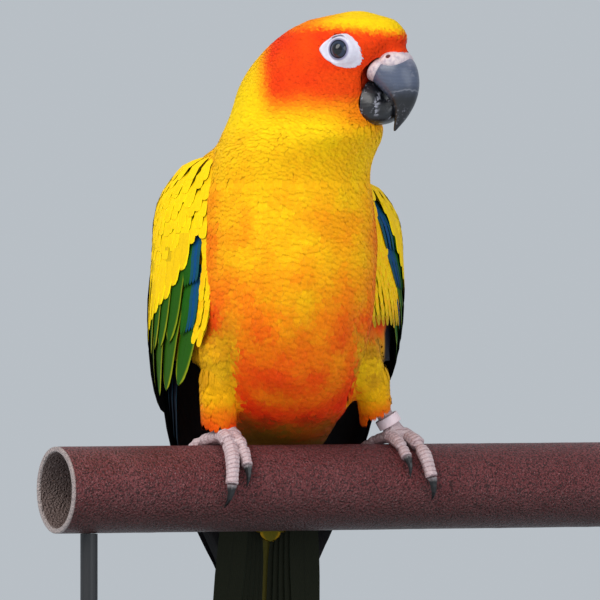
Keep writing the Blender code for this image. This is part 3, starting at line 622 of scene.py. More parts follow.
def outward(piece, merge=1e-6):
    """Merges doubles and turns every face outwards."""
    pick(piece)
    bpy.ops.object.mode_set(mode="EDIT")
    bpy.ops.mesh.select_all(action="SELECT")
    bpy.ops.mesh.remove_doubles(threshold=merge)
    bpy.ops.mesh.normals_make_consistent(inside=False)
    bpy.ops.object.mode_set(mode="OBJECT")


def smooth_shade(piece, degrees=None):
    pick(piece)
    if degrees is None:
        bpy.ops.object.shade_smooth()
    else:
        bpy.ops.object.shade_smooth_by_angle(angle=math.radians(degrees))


def copy_node(node, name):
    """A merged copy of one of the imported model's nodes."""
    source = frame["nodes"][node]
    piece = bpy.data.objects.new(name, source.data.copy())
    piece.data.materials.clear()
    bpy.context.scene.collection.objects.link(piece)
    outward(piece)
    return piece


def finish_piece(piece, look, slot, *nodes):
    """Gives a finished piece its material, its place in the table and the nodes that it stands for."""
    piece.data.materials.clear()
    piece.data.materials.append(material(look))
    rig.ride(piece, "root")
    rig.slot(piece, slot)
    if nodes:
        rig.replaces(piece, *nodes)
    return piece


def finish_smooth(piece, look, slot, *nodes, degrees=None):
    smooth_shade(piece, degrees)
    return finish_piece(piece, look, slot, *nodes)


def sweep(name, rings):
    """A closed body through rings of points: a filled circle is extruded ring by ring and set in place."""
    rings = np.asarray(rings, float)
    count = rings.shape[1]
    deselect()
    bpy.ops.mesh.primitive_circle_add(vertices=count, radius=MM, fill_type="NGON", location=(0, 0, 0))
    piece = bpy.context.object
    piece.name = piece.data.name = name
    bpy.ops.object.mode_set(mode="EDIT")
    for _ in range(len(rings) - 1):
        bpy.ops.mesh.extrude_region_move(TRANSFORM_OT_translate={"value": (0.0, 0.0, MM)})
    bpy.ops.object.mode_set(mode="OBJECT")
    flat = points_of(piece)
    row = np.rint(flat[:, 2] / MM).astype(int)
    turn = np.rint(np.arctan2(flat[:, 1], flat[:, 0]) / (2 * math.pi) * count).astype(int) % count
    set_points(piece, rings[row, turn])
    outward(piece, 1e-7)
    return piece


# Shader maths


class Socket:
    """A socket of a material, so that sums on it can be written as Python."""

    def __init__(self, paint, socket):
        self.paint = paint
        self.socket = socket

    def math(self, operation, *others, flip=False):
        values = [self, *others]
        if flip:
            values.reverse()
        return self.paint.make("Math", {"operation": operation}, dict(enumerate(values)))

    def __add__(self, other):
        return self.math("ADD", other)

    def __sub__(self, other):
        return self.math("SUBTRACT", other)

    def __rsub__(self, other):
        return self.math("SUBTRACT", other, flip=True)

    def __mul__(self, other):
        return self.math("MULTIPLY", other)

    __radd__ = __add__
    __rmul__ = __mul__

    def size(self):
        return self.math("ABSOLUTE")

    def sine(self):
        return self.math("SINE")

    def power(self, exponent):
        return self.math("POWER", exponent)

    def ease(self, start, end):
        """0 below start and 1 above end, with a smooth step between them."""
        settings = {"interpolation_type": "SMOOTHSTEP"}
        return self.paint.make("MapRange", settings, {"Value": self, "From Min": start, "From Max": end})


class Paint:
    """A material's nodes. make() takes a node's type, its settings and then its sockets' values or links."""

    def __init__(self, name, **constants):
        self.material = bpy.data.materials.new(name)
        self.material.use_nodes = True
        self.tree = self.material.node_tree
        self.shader = self.tree.nodes["Principled BSDF"]
        for key, value in constants.items():
            self.shader.inputs[key.replace("_", " ").title().replace("Ior", "IOR")].default_value = value

    def make(self, kind, settings=None, inputs=None, output=0):
        node = self.tree.nodes.new("ShaderNode" + kind)
        for key, value in (settings or {}).items():
            setattr(node, key, value)
        for key, value in (inputs or {}).items():
            self.put(node.inputs[key], value)
        return Socket(self, node.outputs[output])

    def put(self, target, value):
        if isinstance(value, Socket):
            self.tree.links.new(value.socket, target)
        elif hasattr(value, "__len__") and target.type == "RGBA":
            target.default_value = (*value, 1.0)
        else:
            target.default_value = value

    def feed(self, **links):
        for key, value in links.items():
            self.put(self.shader.inputs[key.replace("_", " ").title()], value)

    def attribute(self, name, output="Color"):
        return self.make("Attribute", {"attribute_name": name}, None, output)

    def parts(self, vector):
        return [self.make("SeparateXYZ", None, {0: vector}, axis) for axis in range(3)]

    def place(self):
        return self.make("TexCoord", None, None, "Object")

    def noise(self, scale, detail):
        inputs = {"Vector": self.place(), "Scale": scale, "Detail": detail, "Roughness": 0.55}
        return self.make("TexNoise", None, inputs)

    def spots(self, scale):
        return self.make("TexVoronoi", None, {"Vector": self.place(), "Scale": scale}, "Distance")

    def blend(self, first, second, share):
        return self.make("Mix", {"data_type": "RGBA"}, {0: share, 6: first, 7: second}, 2)

    def shade(self, color, value):
        """A colour made lighter or darker by a number."""
        if not isinstance(color, Socket):
            color = self.make("CombineXYZ", None, dict(enumerate(color)))
        grey = self.make("CombineXYZ", None, {0: value, 1: value, 2: value})
        return self.make("VectorMath", {"operation": "MULTIPLY"}, {0: color, 1: grey})

    def bump(self, height, distance, strength=1.0):
        return self.make("Bump", None, {"Height": height, "Distance": distance, "Strength": strength})


MATERIALS = {}


def material(name):
    """A material by name, made once by the function of that name."""
    if name not in MATERIALS:
        MATERIALS[name] = globals()[name + "_material"]().material
    return MATERIALS[name]


def feather_material():
    """Feathers: a centre and a fringe colour each, a grey underside, and fine slanting barbs."""
    paint = Paint("feather", roughness=0.7, specular_ior_level=0.14)
    across, along, layer = paint.parts(paint.attribute("vane", "Vector"))
    tone = paint.attribute("tone")
    edge = (across.size() * 0.92 + along.power(5.0) * 0.35).ease(0.74, 1.0)
    color = paint.blend(tone, paint.attribute("fringe"), edge)
    below = layer.math("LESS_THAN", -0.002)
    color = paint.blend(color, paint.attribute("under"), below)
    barbs = ((along * 2.2 - across.size() * 0.7) * 60.0).sine()
    shaft = 1.0 - across.size().ease(0.02, 0.09)
    grain = paint.noise(900.0, 2.0)
    value = barbs * 0.045 + grain * 0.3 + 0.86 - shaft * 0.12 * along.ease(1.0, 0.5)
    relief = paint.bump(barbs * 0.5 + shaft * 1.5, 0.00006, 0.5)
    paint.feed(base_color=paint.shade(color, value), normal=relief)
    return paint


def skin_material():
    """Skin and down under the feathers, in the coat's own markings."""
    paint = Paint("skin", roughness=0.8, specular_ior_level=0.2)
    fluff = paint.noise(700.0, 4.0)
    paint.feed(base_color=paint.shade(paint.attribute("tone"), fluff * 0.25 + 0.82))
    paint.feed(normal=paint.bump(fluff, 0.0003, 0.6))
    return paint


# Feathers


def vane_template(columns, stations, shares, teeth=None):
    """A closed thin feather: per vertex its place across from -1 to 1, its place along, its layer and its
    share of the half width, then its triangles. Top and underside meet along the outline."""
    across = np.linspace(-1.0, 1.0, columns)
    rows = len(stations)
    grid = {}
    verts = []
    for row, (station, share) in enumerate(zip(stations, shares)):
        for column, u in enumerate(across):
            v = station - teeth[column] if teeth and row == rows - 1 else station
            outline = row in (0, rows - 1) or column in (0, columns - 1)
            for layer in (1, -1):
                if layer == 1 or not outline:
                    verts.append((u, v, 0.0 if outline else layer * (1.0 - 0.6 * abs(u)), share))
                grid[row, column, layer] = len(verts) - 1
    tris = []
    for row in range(rows - 1):
        for column in range(columns - 1):
            for layer in (1, -1):
                a, b, c, d = (grid[row + i, column + j, layer] for i, j in ((0, 0), (0, 1), (1, 1), (1, 0)))
                halves = ((a, b, c), (a, c, d)) if column < (columns - 1) / 2 else ((a, b, d), (b, c, d))
                tris += [half[::layer] for half in halves]
    return np.array(verts, float), np.array(tris, np.int32)


PLUME = vane_template(
    9, (0.0, 0.4, 0.72, 1.0), (0.3, 0.9, 1.0, 0.7), (0.34, 0.1, 0.26, 0.02, 0.18, 0.0, 0.24, 0.06, 0.3)
)
TUFT = vane_template(7, (0.0, 0.4, 0.72, 1.0), (0.3, 0.9, 1.0, 0.66), (0.32, 0.06, 0.24, 0.0, 0.2, 0.04, 0.3))
SLIP = vane_template(5, (0.0, 0.45, 0.78, 1.0), (0.35, 1.0, 0.9, 0.5), (0.26, 0.03, 0.18, 0.0, 0.24))
COVERT = vane_template(5, (0.0, 0.2, 0.5, 0.75, 0.9, 0.97, 1.0), (0.3, 0.75, 1.0, 1.0, 0.84, 0.58, 0.25))
FLIGHT = vane_template(
    7,
    (0.0, 0.1, 0.25, 0.4, 0.55, 0.7, 0.82, 0.91, 0.97, 1.0),
    (0.3, 0.7, 0.95, 1.0, 1.0, 0.96, 0.86, 0.66, 0.4, 0.12),
)


class Vanes:
    """Feathers of one template, gathered and then made into one mesh."""

    def __init__(self, template):
        self.template = template
        self.batches = []

    def add(self, centers, normals, sides, half, thick, colors, places, cup=0.12, tilt=0.0, patch=0.003):
        """Centre lines (feather, station, 3) with their normals and sideways directions, half widths and
        thicknesses in mm, colours as (tone, fringe, under), and each feather's place on the unwrap."""
        verts, tris = self.template
        across, along, layer, share = verts.T
        stations = centers.shape[1]
        at = np.clip(along, 0.0, 1.0) * (stations - 1)
        low = np.minimum(at.astype(int), stations - 2)
        part = (at - low)[None, :, None]
        ends = ((rows[:, low], rows[:, low + 1]) for rows in (centers, normals, sides))
        line, up, side = (first * (1.0 - part) + second * part for first, second in ends)
        up, side = unit(up), unit(side)
        count = len(centers)
        half, thick = (np.broadcast_to(np.asarray(size, float), (count,))[:, None] for size in (half, thick))
        reach = half * share * across
        lift = thick * layer / 2 - cup * half * (share * across) ** 2 + tilt * reach
        points = line + side * reach[..., None] + up * lift[..., None]
        down = centers[:, 1] - centers[:, 0]
        facing = np.einsum("ij,ij->i", np.cross(sides[:, 0], down), normals[:, 0])
        faces = np.where((facing > 0)[:, None, None], tris[None], tris[None, :, ::-1])
        faces = faces + (np.arange(count) * len(verts))[:, None, None]
        tone, fringe, under = (np.broadcast_to(np.asarray(c, float), (count, 3)) for c in colors)
        below = (layer[tris].min(axis=1) < 0)[None, :, None]
        corner = np.stack([across[tris], along[tris] - 0.5], axis=-1) * (0.5 * patch, patch)
        spots = places[:, None, None, :] + corner[None] + below[..., None] * np.array([1.1 * patch, 0.0])
        self.batches.append((points, faces, tone, fringe, under, spots, up))

    def piece(self, name, slot, *nodes, soft=0.0):
        """Makes the mesh. Soft is how far its shading follows the body under it and not each feather."""
        verts = self.template[0]
        points, faces, tones, fringes, unders, spots, ups = zip(*self.batches)
        points, spots, ups = (
            np.concatenate([part.reshape(-1, part.shape[-1]) for part in parts])
            for parts in (points, spots, ups)
        )
        starts = np.cumsum([0] + [len(tone) * len(verts) for tone in tones])
        faces = np.concatenate([batch.reshape(-1, 3) + start for batch, start in zip(faces, starts)])
        piece = mesh_from_arrays(name, to_frame(points), faces)
        for key, colors in (("tone", tones), ("fringe", fringes), ("under", unders)):
            set_attribute(piece, key, np.repeat(np.concatenate(colors), len(verts), axis=0))
        set_attribute(piece, "vane", np.tile(verts[:, :3], (len(points) // len(verts), 1)), "FLOAT_VECTOR")
        layer = piece.data.uv_layers.new(name="OFBake")
        layer.data.foreach_set("uv", np.clip(spots, 0.0, 1.0).astype(np.float32).ravel())
        piece.data.shade_smooth()
        piece.data.set_sharp_from_angle(angle=math.radians(50.0))
        if soft:
            shading = unit(ups @ TURN.T * soft + normals_of(piece) * (1.0 - soft))
            piece.data.normals_split_custom_set_from_vertices(shading.astype(np.float32))
        return finish_piece(piece, "feather", slot, *nodes)


def round_axis(points, start, end):
    """Unwraps places round an axis: the turn round it and the way along it, each from 0.03 to 0.97."""
    axis = unit(np.array(end, float) - start)
    side = unit(np.cross(axis, (0.31, 0.87, 0.12)))
    flat = points - start
    turn = np.arctan2(flat @ np.cross(axis, side), flat @ side) / (2 * math.pi) + 0.5
    along = flat @ axis
    along = (along - along.min()) / max(np.ptp(along), 1e-6)
    return 0.03 + 0.94 * np.stack([turn, along], axis=-1)


def scatter(points, tris, spacing, rng):
    """Random places over a surface, each at least the spacing from the next."""
    corners = points[tris]
    edges = corners[:, 1:] - corners[:, :1]
    area = np.linalg.norm(np.cross(edges[:, 0], edges[:, 1]), axis=1) / 2
    face = np.repeat(np.arange(len(tris)), rng.poisson(area / spacing**2 * 4.0))
    first, second = rng.random((2, len(face)))
    over = first + second > 1.0
    first[over], second[over] = 1.0 - first[over], 1.0 - second[over]
    places = corners[face, 0] + edges[face, 0] * first[:, None] + edges[face, 1] * second[:, None]
    places = places[rng.permutation(len(places))]
    cells = {}
    kept = []
    near = [(i, j, k) for i in (-1, 0, 1) for j in (-1, 0, 1) for k in (-1, 0, 1)]
    homes = np.floor(places / spacing).astype(int).tolist()
    for number, (cell, place) in enumerate(zip(homes, places.tolist())):
        if all(
            (x - place[0]) ** 2 + (y - place[1]) ** 2 + (z - place[2]) ** 2 >= spacing**2
            for i, j, k in near
            for x, y, z in cells.get((cell[0] + i, cell[1] + j, cell[2] + k), ())
        ):
            cells.setdefault(tuple(cell), []).append(place)
            kept.append(number)
    return places[kept]


class Surface:
    """A skin as arrays, with a tree to find the nearest place on it."""

    def __init__(self, points, tris, normals):
        self.points, self.tris, self.normals = points, tris, normals
        self.tree = BVHTree.FromPolygons(points.tolist(), tris.tolist())

    def nearest(self, places):
        spots, _, index, _ = zip(*(self.tree.find_nearest(place) for place in places.tolist()))
        ups = unit(self.normals[self.tris[list(index)]].sum(axis=1))
        return np.array([tuple(spot) for spot in spots]), ups


def body_lie(places, ups):
    """Which way the coat lies: back from the bill over the head, and down the body."""
    bill = head_point(38.0, 0.0, 126.0)
    away = unit(places - bill)
    down = np.array([0.0, 0.1, -1.0])
    head = 1.0 - ease(np.linalg.norm(places - bill, axis=1), 26.0, 52.0)
    lie = away * head[:, None] + down * (1.0 - head)[:, None]
    return flat_to(lie, ups)


def lay_feathers(surface, roots, lengths, lifts, lie, rng, stray=0.07, stations=4):
    """Walks every feather over the surface along the lie: centre lines, normals and sideways directions."""
    spots, ups = surface.nearest(roots)
    wander = rng.normal(0.0, stray, len(roots))
    centers, normals, sides = [], [], []
    for step in range(stations):
        share = step / (stations - 1)
        way = lie(spots, ups)
        side = np.cross(ups, way)
        way = unit(way + side * wander[:, None])
        side = np.cross(ups, way)
        low, high = lifts
        centers.append(spots + ups * (low + (high - low) * (1.0 - (1.0 - share) ** 2))[:, None])
        normals.append(ups)
        sides.append(side)
        if step < stations - 1:
            spots, ups = surface.nearest(spots + way * (lengths / (stations - 1))[:, None])
    return [np.stack(rows, axis=1) for rows in (centers, normals, sides)]


# Wing and tail surfaces


def wing_surface(side, s, t, lift):
    """Places on a folded wing: s from top to tip, t from the leading edge to the other, lift outwards."""
    s, t, lift = np.broadcast_arrays(np.asarray(s, float), t, lift)
    height = WING_TOP + (WING_BOTTOM - WING_TOP) * s
    lead_x, lead_y, trail_x, trail_y, bulge = np.moveaxis(smooth_rows(WING_ROWS, height), -1, 0)
    chord_x, chord_y = trail_x - lead_x, trail_y - lead_y
    length = np.hypot(chord_x, chord_y)
    away = bulge * WING_BULGE[side] * 4.0 * t * np.maximum(1.0 - t, 0.0) + lift
    low = ease(2.2 * s - 0.5, 0.0, 1.0)
    x = lead_x + chord_x * t + chord_y / length * away + WING_OUT * low * (1.0 - s)
    y = lead_y + chord_y * t - chord_x / length * away + WING_BACK[side] * low * (1.0 - t)
    z = height + WING_RAISE[side] * np.maximum(0.0, 1.0 - 2.0 * s)
    return np.stack([SIGN[side] * x, y, z], axis=-1)


def wing_vanes(side, s_ends, t_ends, lift_ends, stations=8):
    """Centre lines, normals and sideways directions of feathers on a wing, from arrays of their ends."""
    share = np.linspace(0.0, 1.0, stations)[None, :]
    ends = [np.asarray(end, float) for pair in (s_ends, t_ends, lift_ends) for end in pair]
    ends = [end[:, None] for end in np.broadcast_arrays(*ends)]
    s = ends[0] + (ends[1] - ends[0]) * share
    t = ends[2] + (ends[3] - ends[2]) * share
    lift = ends[4] + (ends[5] - ends[4]) * np.minimum(1.0, 2.0 * share)
    base = wing_surface(side, s, t, 0.0)
    down = wing_surface(side, s + 0.005, t, 0.0) - wing_surface(side, s - 0.005, t, 0.0)
    across = wing_surface(side, s, t + 0.005, 0.0) - wing_surface(side, s, t - 0.005, 0.0)
    normals = unit(np.cross(across, down))
    out = wing_surface(side, s, t, 1.0) - base
    normals = normals * np.sign(np.einsum("ijk,ijk->ij", normals, out))[..., None]
    centers = base + normals * lift[..., None]
    way = unit(np.gradient(centers, axis=1))
    sides = np.cross(normals, way)
    sides = sides * np.sign(np.einsum("ijk,ijk->ij", sides, across))[..., None]
    return centers, normals, sides


def grid_places(count):
    """Middles of cells in a square grid, where feathers lie apart on the unwrap."""
    cells = math.ceil(math.sqrt(count))
    index = np.arange(count)
    return np.stack([(index % cells + 0.3) / cells, (index // cells + 0.5) / cells], axis=-1), 0.42 / cells


# Operators


class CONURE_OT_skin(bpy.types.Operator):
    """Make one skin for head, neck, trunk, thighs and wing arms, inside their solids by the coat's depth"""

    bl_idname = "conure.skin"
    bl_label = "Skin"

    def execute(self, context):
        copies = [copy_node(node, "flesh") for node in FLESH]
        copies += [wing_arm(side) for side in SIGN]
        skin = join(copies, "skin")
        skin.data.name = "skin"
        swell = SKIN_SWELL * MM
        modify(skin, "DISPLACE", strength=swell, mid_level=0.0)
        remesh(skin, coat().voxel, 8)
        points = points_of(skin)
        for side, slimmer in THIGH_SLIMMER.items():
            points = points + slim_thigh(to_bird(points), side, slimmer)
        points = points + tufts(to_bird(points))
        along, _, height = head_places(to_bird(points))
        face = ease(height, 104.0, 122.0) * ease(along, -2.0, 12.0)
        depth = coat().depth + (coat().face_depth - coat().depth) * face
        set_points(skin, points - normals_of(skin) * (depth + swell)[:, None])
        modify(skin, "SMOOTH", factor=0.5, iterations=3)
        places = to_bird(points_of(skin))
        across, back, height = np.abs(places[:, 0]), places[:, 1], places[:, 2]
        arm = ease(across, 20.0, 25.0) * ease(height, 44.0, 54.0) * (height < 104.0)
        # Painted shade: the skin low on the back, under the wings, is painted blue-black so the gaps there look dark
        hidden = ease(back, 4.0, 9.0) * ease(across, 16.0, 20.0) * (1.0 - ease(height, 40.0, 50.0))
        tone = blend_colors(markings(places) * 0.92, plumage().gold, arm)
        set_attribute(skin, "tone", blend_colors(tone, plumage().ink, hidden))
        finish_smooth(skin, "skin", "plumage_orange", *FLESH)
        return {"FINISHED"}


def wing_arm(side):
    """The arm under a wing's feathers, thick at the shoulder and thin where the flight feathers leave it."""
    across = np.linspace(0.0, 1.0, 12)
    rings = []
    for s in np.linspace(0.0, 0.5, 14):
        depth = 17.0 * (1.0 - 0.86 * (s / 0.5) ** 1.5) * min(1.0, 0.35 + 6.0 * s)
        round_off = np.sqrt(np.maximum(0.0, 4.0 * across * (1.0 - across)))
        outer = wing_surface(side, s, across, -0.4)
        inner = wing_surface(side, s, across, -0.9 - (depth - 0.9) * round_off)
        rings.append(to_frame(np.concatenate([outer, inner[::-1]])))
    return sweep("arm", rings)


def skin_surface():
    skin = bpy.data.objects["skin"]
    points = to_bird(points_of(skin))
    return Surface(points, tris_of(skin), normals_of(skin) @ TURN)


def coat_part(
    surface, name, keep, spacing, length, half, template, paint, slot, axis, lifts, seed, lie, thick=0.05
):
    """One stretch of coat: keep says which places of the skin it covers."""
    rng = np.random.default_rng(coat().seed + seed)
    middles = surface.points[surface.tris].mean(axis=1)
    roots = scatter(surface.points, surface.tris[keep(middles)], spacing, rng)
    if not len(roots):
        raise RuntimeError(name + " covers no part of the skin")
    long = (length(roots) if callable(length) else length) * rng.uniform(0.85, 1.15, len(roots))
    low = np.full(len(roots), -0.2)
    high = lifts * rng.uniform(0.97, 1.03, len(roots)) * np.interp(long, (1.8, 3.2), (0.65, 1.0))
    centers, normals, sides = lay_feathers(surface, roots, long, (low, high), lie, rng)
    wide = (half(roots) if callable(half) else half) * rng.uniform(0.85, 1.15, len(roots))
    value = rng.uniform(0.94, 1.04, (len(roots), 1))
    stray = np.where(roots[:, 2:] > 108.0, 0.35, 0.8)
    tone = np.clip(paint(centers[:, -1] + rng.normal(0.0, 1.0, roots.shape) * stray) * value, 0.0, 1.0)
    fringe = np.clip(tone * 1.08 + 0.01, 0.0, 1.0)
    vanes = Vanes(template)
    places = round_axis(roots, *axis)
    vanes.add(centers, normals, sides, wide, thick, (tone, fringe, tone * 0.85), places, 0.01)
    return vanes.piece(name, slot, soft=0.93)


def thigh_curve(side):
    """A thigh's middle line from hip over knee to ankle, and how thick it is along it."""
    hip, knee = (np.array(place) for place in THIGH[side])
    ankle = to_bird(np.array(ANKLE[side]) * MM + (0.0, 0.0, PIPE_HIGH.z))
    t = np.linspace(0.0, 1.0, 25)[:, None]
    line = hip * (1.0 - t) ** 2 + knee * 2.0 * t * (1.0 - t) + ankle * t**2
    t = t[:, 0]
    radii = THIGH_RADII[0] * (1.0 - t) ** 2 + THIGH_RADII[1] * 2.0 * t * (1.0 - t) + THIGH_RADII[2] * t**2
    return line, radii


def along_thigh(points, side):
    """How far down a thigh places are, and how far outside it."""
    line, radii = thigh_curve(side)
    away = np.linalg.norm(points[:, None] - line[None], axis=-1)
    nearest = away.argmin(axis=1)
    share = nearest / (len(line) - 1)
    return share, away[np.arange(len(points)), nearest] - radii[nearest]


def tufts(points):
    """Moves, in metres, that lump belly, breast and flanks into tufts and fill the throat below the bill."""
    along, left, height = head_places(points)
    body = (1.0 - ease(height, 84.0, 106.0)) * (1.0 - ease(points[:, 1], 8.0, 16.0))
    coarse = lattice_noise(points * (1.0, 1.0, 0.7), 9.0, 21) - 0.5
    middle = points * (0.0, 0.0, 1.0) + (0.0, 4.0, 0.0)
    moves = unit(points - middle) * (coarse * body * (2.6 - 1.2 * ease(height, 40.0, 70.0)))[:, None]
    throat = np.exp(-(((height - 107.0) / 6.5) ** 2)) * ease(along, 14.0, 30.0)
    moves = moves + HEAD_AHEAD * (2.4 * throat)[:, None]
    narrow = np.exp(-(((height - 93.0) / 8.0) ** 2)) * ease(points[:, 0], 10.0, 22.0)
    moves[:, 0] -= 1.4 * narrow * (1.0 - ease(points[:, 1], 0.0, 8.0))
    for sign in (-1, 1):
        dent = np.exp(-((nostril_gap((along, left, height), sign, 0.6) / 2.6) ** 2))
        moves = moves - dent[:, None] * (HEAD_AHEAD * 2.4 + HEAD_LEFT * sign * 1.4 + (0.0, 0.0, 1.4))
    return moves @ TURN.T * MM


def slim_thigh(points, side, most):
    """Moves, in metres, that draw a thigh's skin in towards its middle line."""
    moves = np.zeros_like(points)
    near = (points[:, 2] < 50.0) & (points[:, 0] > 8.0 if side == "left" else points[:, 0] < -8.0)
    line, _ = thigh_curve(side)
    share, gap = along_thigh(points[near], side)
    inward = line[np.rint(share * (len(line) - 1)).astype(int)] - points[near]
    size = most * ease(share, 0.3, 0.55) * (1.0 - 0.7 * ease(share, 0.8, 1.0)) * (1.0 - ease(gap, 0.8, 2.5))
    moves[near] = unit(inward) * size[:, None] @ TURN.T * MM
    return moves


def on_thigh(points, side):
    share, gap = along_thigh(points, side)
    return (gap < 1.2) & (share > 0.34)


def thigh_lie(side):
    line, _ = thigh_curve(side)
    ways = unit(np.gradient(line, axis=0))

    def lie(places, ups):
        share, _ = along_thigh(places, side)
        return flat_to(ways[np.rint(share * (len(line) - 1)).astype(int)], ups)

    return lie


def patch_reach(forward, up):
    """How far the bare skin round the eye reaches in a direction."""
    angles = np.array([math.atan2(z, a) for a, z in BARE_PATCH])
    reaches = np.array([math.hypot(a, z) for a, z in BARE_PATCH])
    order = np.argsort(angles)
    return np.interp(np.arctan2(up, forward), angles[order], reaches[order], period=2 * math.pi)


def is_bare(points):
    """Places with no feathers: the bill, its cere and the skin round each eye."""
    along, left, height = head_places(points)
    bare = (along > np.interp(height, *FEATHERS_STOP)) & (height > 113.5) & (height < 135.4)
    for sign in (-1, 1):
        bare |= nostril_gap((along, left, height), sign) < NOSTRIL_BARE
    forward, up = along - EYE_ALONG, height - EYE_HEIGHT
    return bare | (np.hypot(forward, up) < patch_reach(forward, up)) & (np.abs(left) > 6.0)


def under_wing(points):
    """Places that a wing's arm covers."""
    covered = np.zeros(len(points), bool)
    for side in SIGN:
        s, t = np.meshgrid(np.linspace(0.06, 0.5, 24), np.linspace(0.06, 0.94, 18))
        arm = wing_surface(side, s, t, -4.0).reshape(-1, 3)
        near = np.full(len(points), 1e9)
        for place in arm:
            near = np.minimum(near, np.linalg.norm(points - place, axis=1))
        covered |= near < 4.6
    return covered


def face_length(points):
    away = np.linalg.norm(points - head_point(40.0, 0.0, 128.0), axis=-1)
    return np.interp(away, (8.0, 20.0, 40.0, 60.0), (1.9, 2.3, 3.1, 4.2))


def coat_regions():
    """Which places of the skin each stretch of the coat covers."""

    def turn(p):
        return np.abs(np.degrees(np.arctan2(p[:, 0], -(p[:, 1] + 1.0))))

    def trunk(low, high, front):
        def keep(p):
            found = (p[:, 2] > low) & (p[:, 2] <= high) & ((turn(p) < 90.0) == front) & ~under_wing(p)
            return found & ~on_thigh(p, "left") & ~on_thigh(p, "right")

        return keep

    def head(sign):
        def keep(p):
            _, left, height = head_places(p)
            return (height > 112.0) & (sign * left > 0.0) & ~is_bare(p)

        return keep

    def neck(p):
        return (p[:, 2] > 94.0) & (p[:, 2] <= 112.0) & ~is_bare(p)

    return {
        "head_right": head(-1),
        "head_left": head(1),
        "neck": neck,
        "breast": trunk(54.0, 94.0, True),
        "belly": trunk(-20.0, 54.0, True),
        "back": trunk(-20.0, 94.0, False),
        "thigh_left": lambda p: on_thigh(p, "left"),
        "thigh_right": lambda p: on_thigh(p, "right"),
    }


class CONURE_OT_coat(bpy.types.Operator):
    """Cover the skin with small feathers, stretch by stretch"""

    bl_idname = "conure.coat"
    bl_label = "Body coat"

    def execute(self, context):
        surface = skin_surface()
        regions = coat_regions()
        upright = (np.array([0.0, 0.0, -20.0]), np.array([0.0, 0.0, 150.0]))
        skull = (head_point(14.0, 0.0, 105.0), head_point(14.0, 0.0, 150.0))
        depth, face = coat().depth / MM, coat().face_depth / MM
        for number, name in enumerate(("head_right", "head_left")):
            coat_part(
                surface, "coat_" + name, regions[name], 0.64, face_length, lambda p: 0.24 * face_length(p),
                SLIP, markings, "plumage_red", skull, face, number, body_lie, 0.04,
            )
        for number, (name, spacing, length, half, template, slot) in enumerate((
            ("neck", 0.86, 4.2, 0.9, TUFT, "plumage_gold"),
            ("breast", 1.02, 6.2, 1.35, PLUME, "plumage_orange"),
            ("belly", 1.02, 7.2, 1.3, PLUME, "plumage_orange"),
            ("back", 1.5, 6.8, 1.9, TUFT, "plumage_gold"),
        )):
            lift = depth * (0.75 if name == "neck" else 1.0)
            coat_part(
                surface, "coat_" + name, regions[name], spacing, length, half,
                template, markings, slot, upright, lift, number + 2, body_lie,
            )
        for number, side in enumerate(SIGN):
            line, _ = thigh_curve(side)
            coat_part(
                surface, "coat_thigh_" + side, regions["thigh_" + side], 1.0, 5.6, 1.0, TUFT, thigh_markings,
                "plumage_orange", (line[0], line[-1]), depth * 0.8, number + 6, thigh_lie(side),
            )
            thigh_cuff(side)
        return {"FINISHED"}


def thigh_cuff(side):
    """Longer feathers from a thigh's lower half down over its shank: a straight column with a frayed end."""
    rng = np.random.default_rng(coat().seed + 60 + (side == "left"))
    start, end, top_radius, low_radius = CUFF[side]
    start, end = np.array(start), np.array(end)
    long = np.linalg.norm(end - start)
    way = (end - start) / long
    first = unit(np.cross(way, (0.0, 1.0, 0.0)))
    second = np.cross(way, first)
    rows = np.arange(-3.0, long - CUFF_FEATHER + 0.1, 1.1)
    down = np.repeat(rows, 30) + rng.uniform(-0.9, 0.9, 30 * len(rows))
    turn = rng.uniform(0.0, 2.0 * math.pi, len(down))
    radial = first * np.cos(turn)[:, None] + second * np.sin(turn)[:, None]
    inner = radial @ np.array([1.0 if side == "right" else -1.0, 0.35, 0.0])
    lower = 4.6 if side == "left" else 0.8
    down = down + lower * ease(inner, -0.2, 0.8) * ease(down, 2.0, long - CUFF_FEATHER)
    centers, normals, sides = [], [], []
    for share in (0.0, 0.33, 0.67, 1.0):
        at = down + CUFF_FEATHER * share
        radius = np.interp(at, (0.0, long), (top_radius, low_radius)) - 1.2 + 1.3 * (1.0 - (1.0 - share) ** 2)
        centers.append(start + way * at[:, None] + radial * radius[:, None])
        normals.append(radial)
        sides.append(np.cross(radial, way))
    centers, normals, sides = (np.stack(steps, axis=1) for steps in (centers, normals, sides))
    tone = np.clip(thigh_markings(centers[:, -1]) * rng.uniform(0.94, 1.04, (len(down), 1)), 0.0, 1.0)
    vanes = Vanes(TUFT)
    places = round_axis(centers[:, 0], start, end)
    half = rng.uniform(0.85, 1.2, len(down))
    colors = (tone, np.clip(tone * 1.08, 0.0, 1.0), tone * 0.6)
    vanes.add(centers, normals, sides, half, 0.08, colors, places, 0.03)
    vanes.piece("coat_cuff_" + side, "plumage_orange", soft=0.7)


# Wings


def jitter(rng, count, reach):
    return rng.uniform(-reach, reach, count)


def wing_tone(colors, rng, count):
    """A row of feathers' colours, each feather a little darker or lighter."""
    value = rng.uniform(0.95, 1.05, (count, 1))
    return [np.clip(np.broadcast_to(color, (count, 3)) * value, 0.0, 1.0) for color in colors]


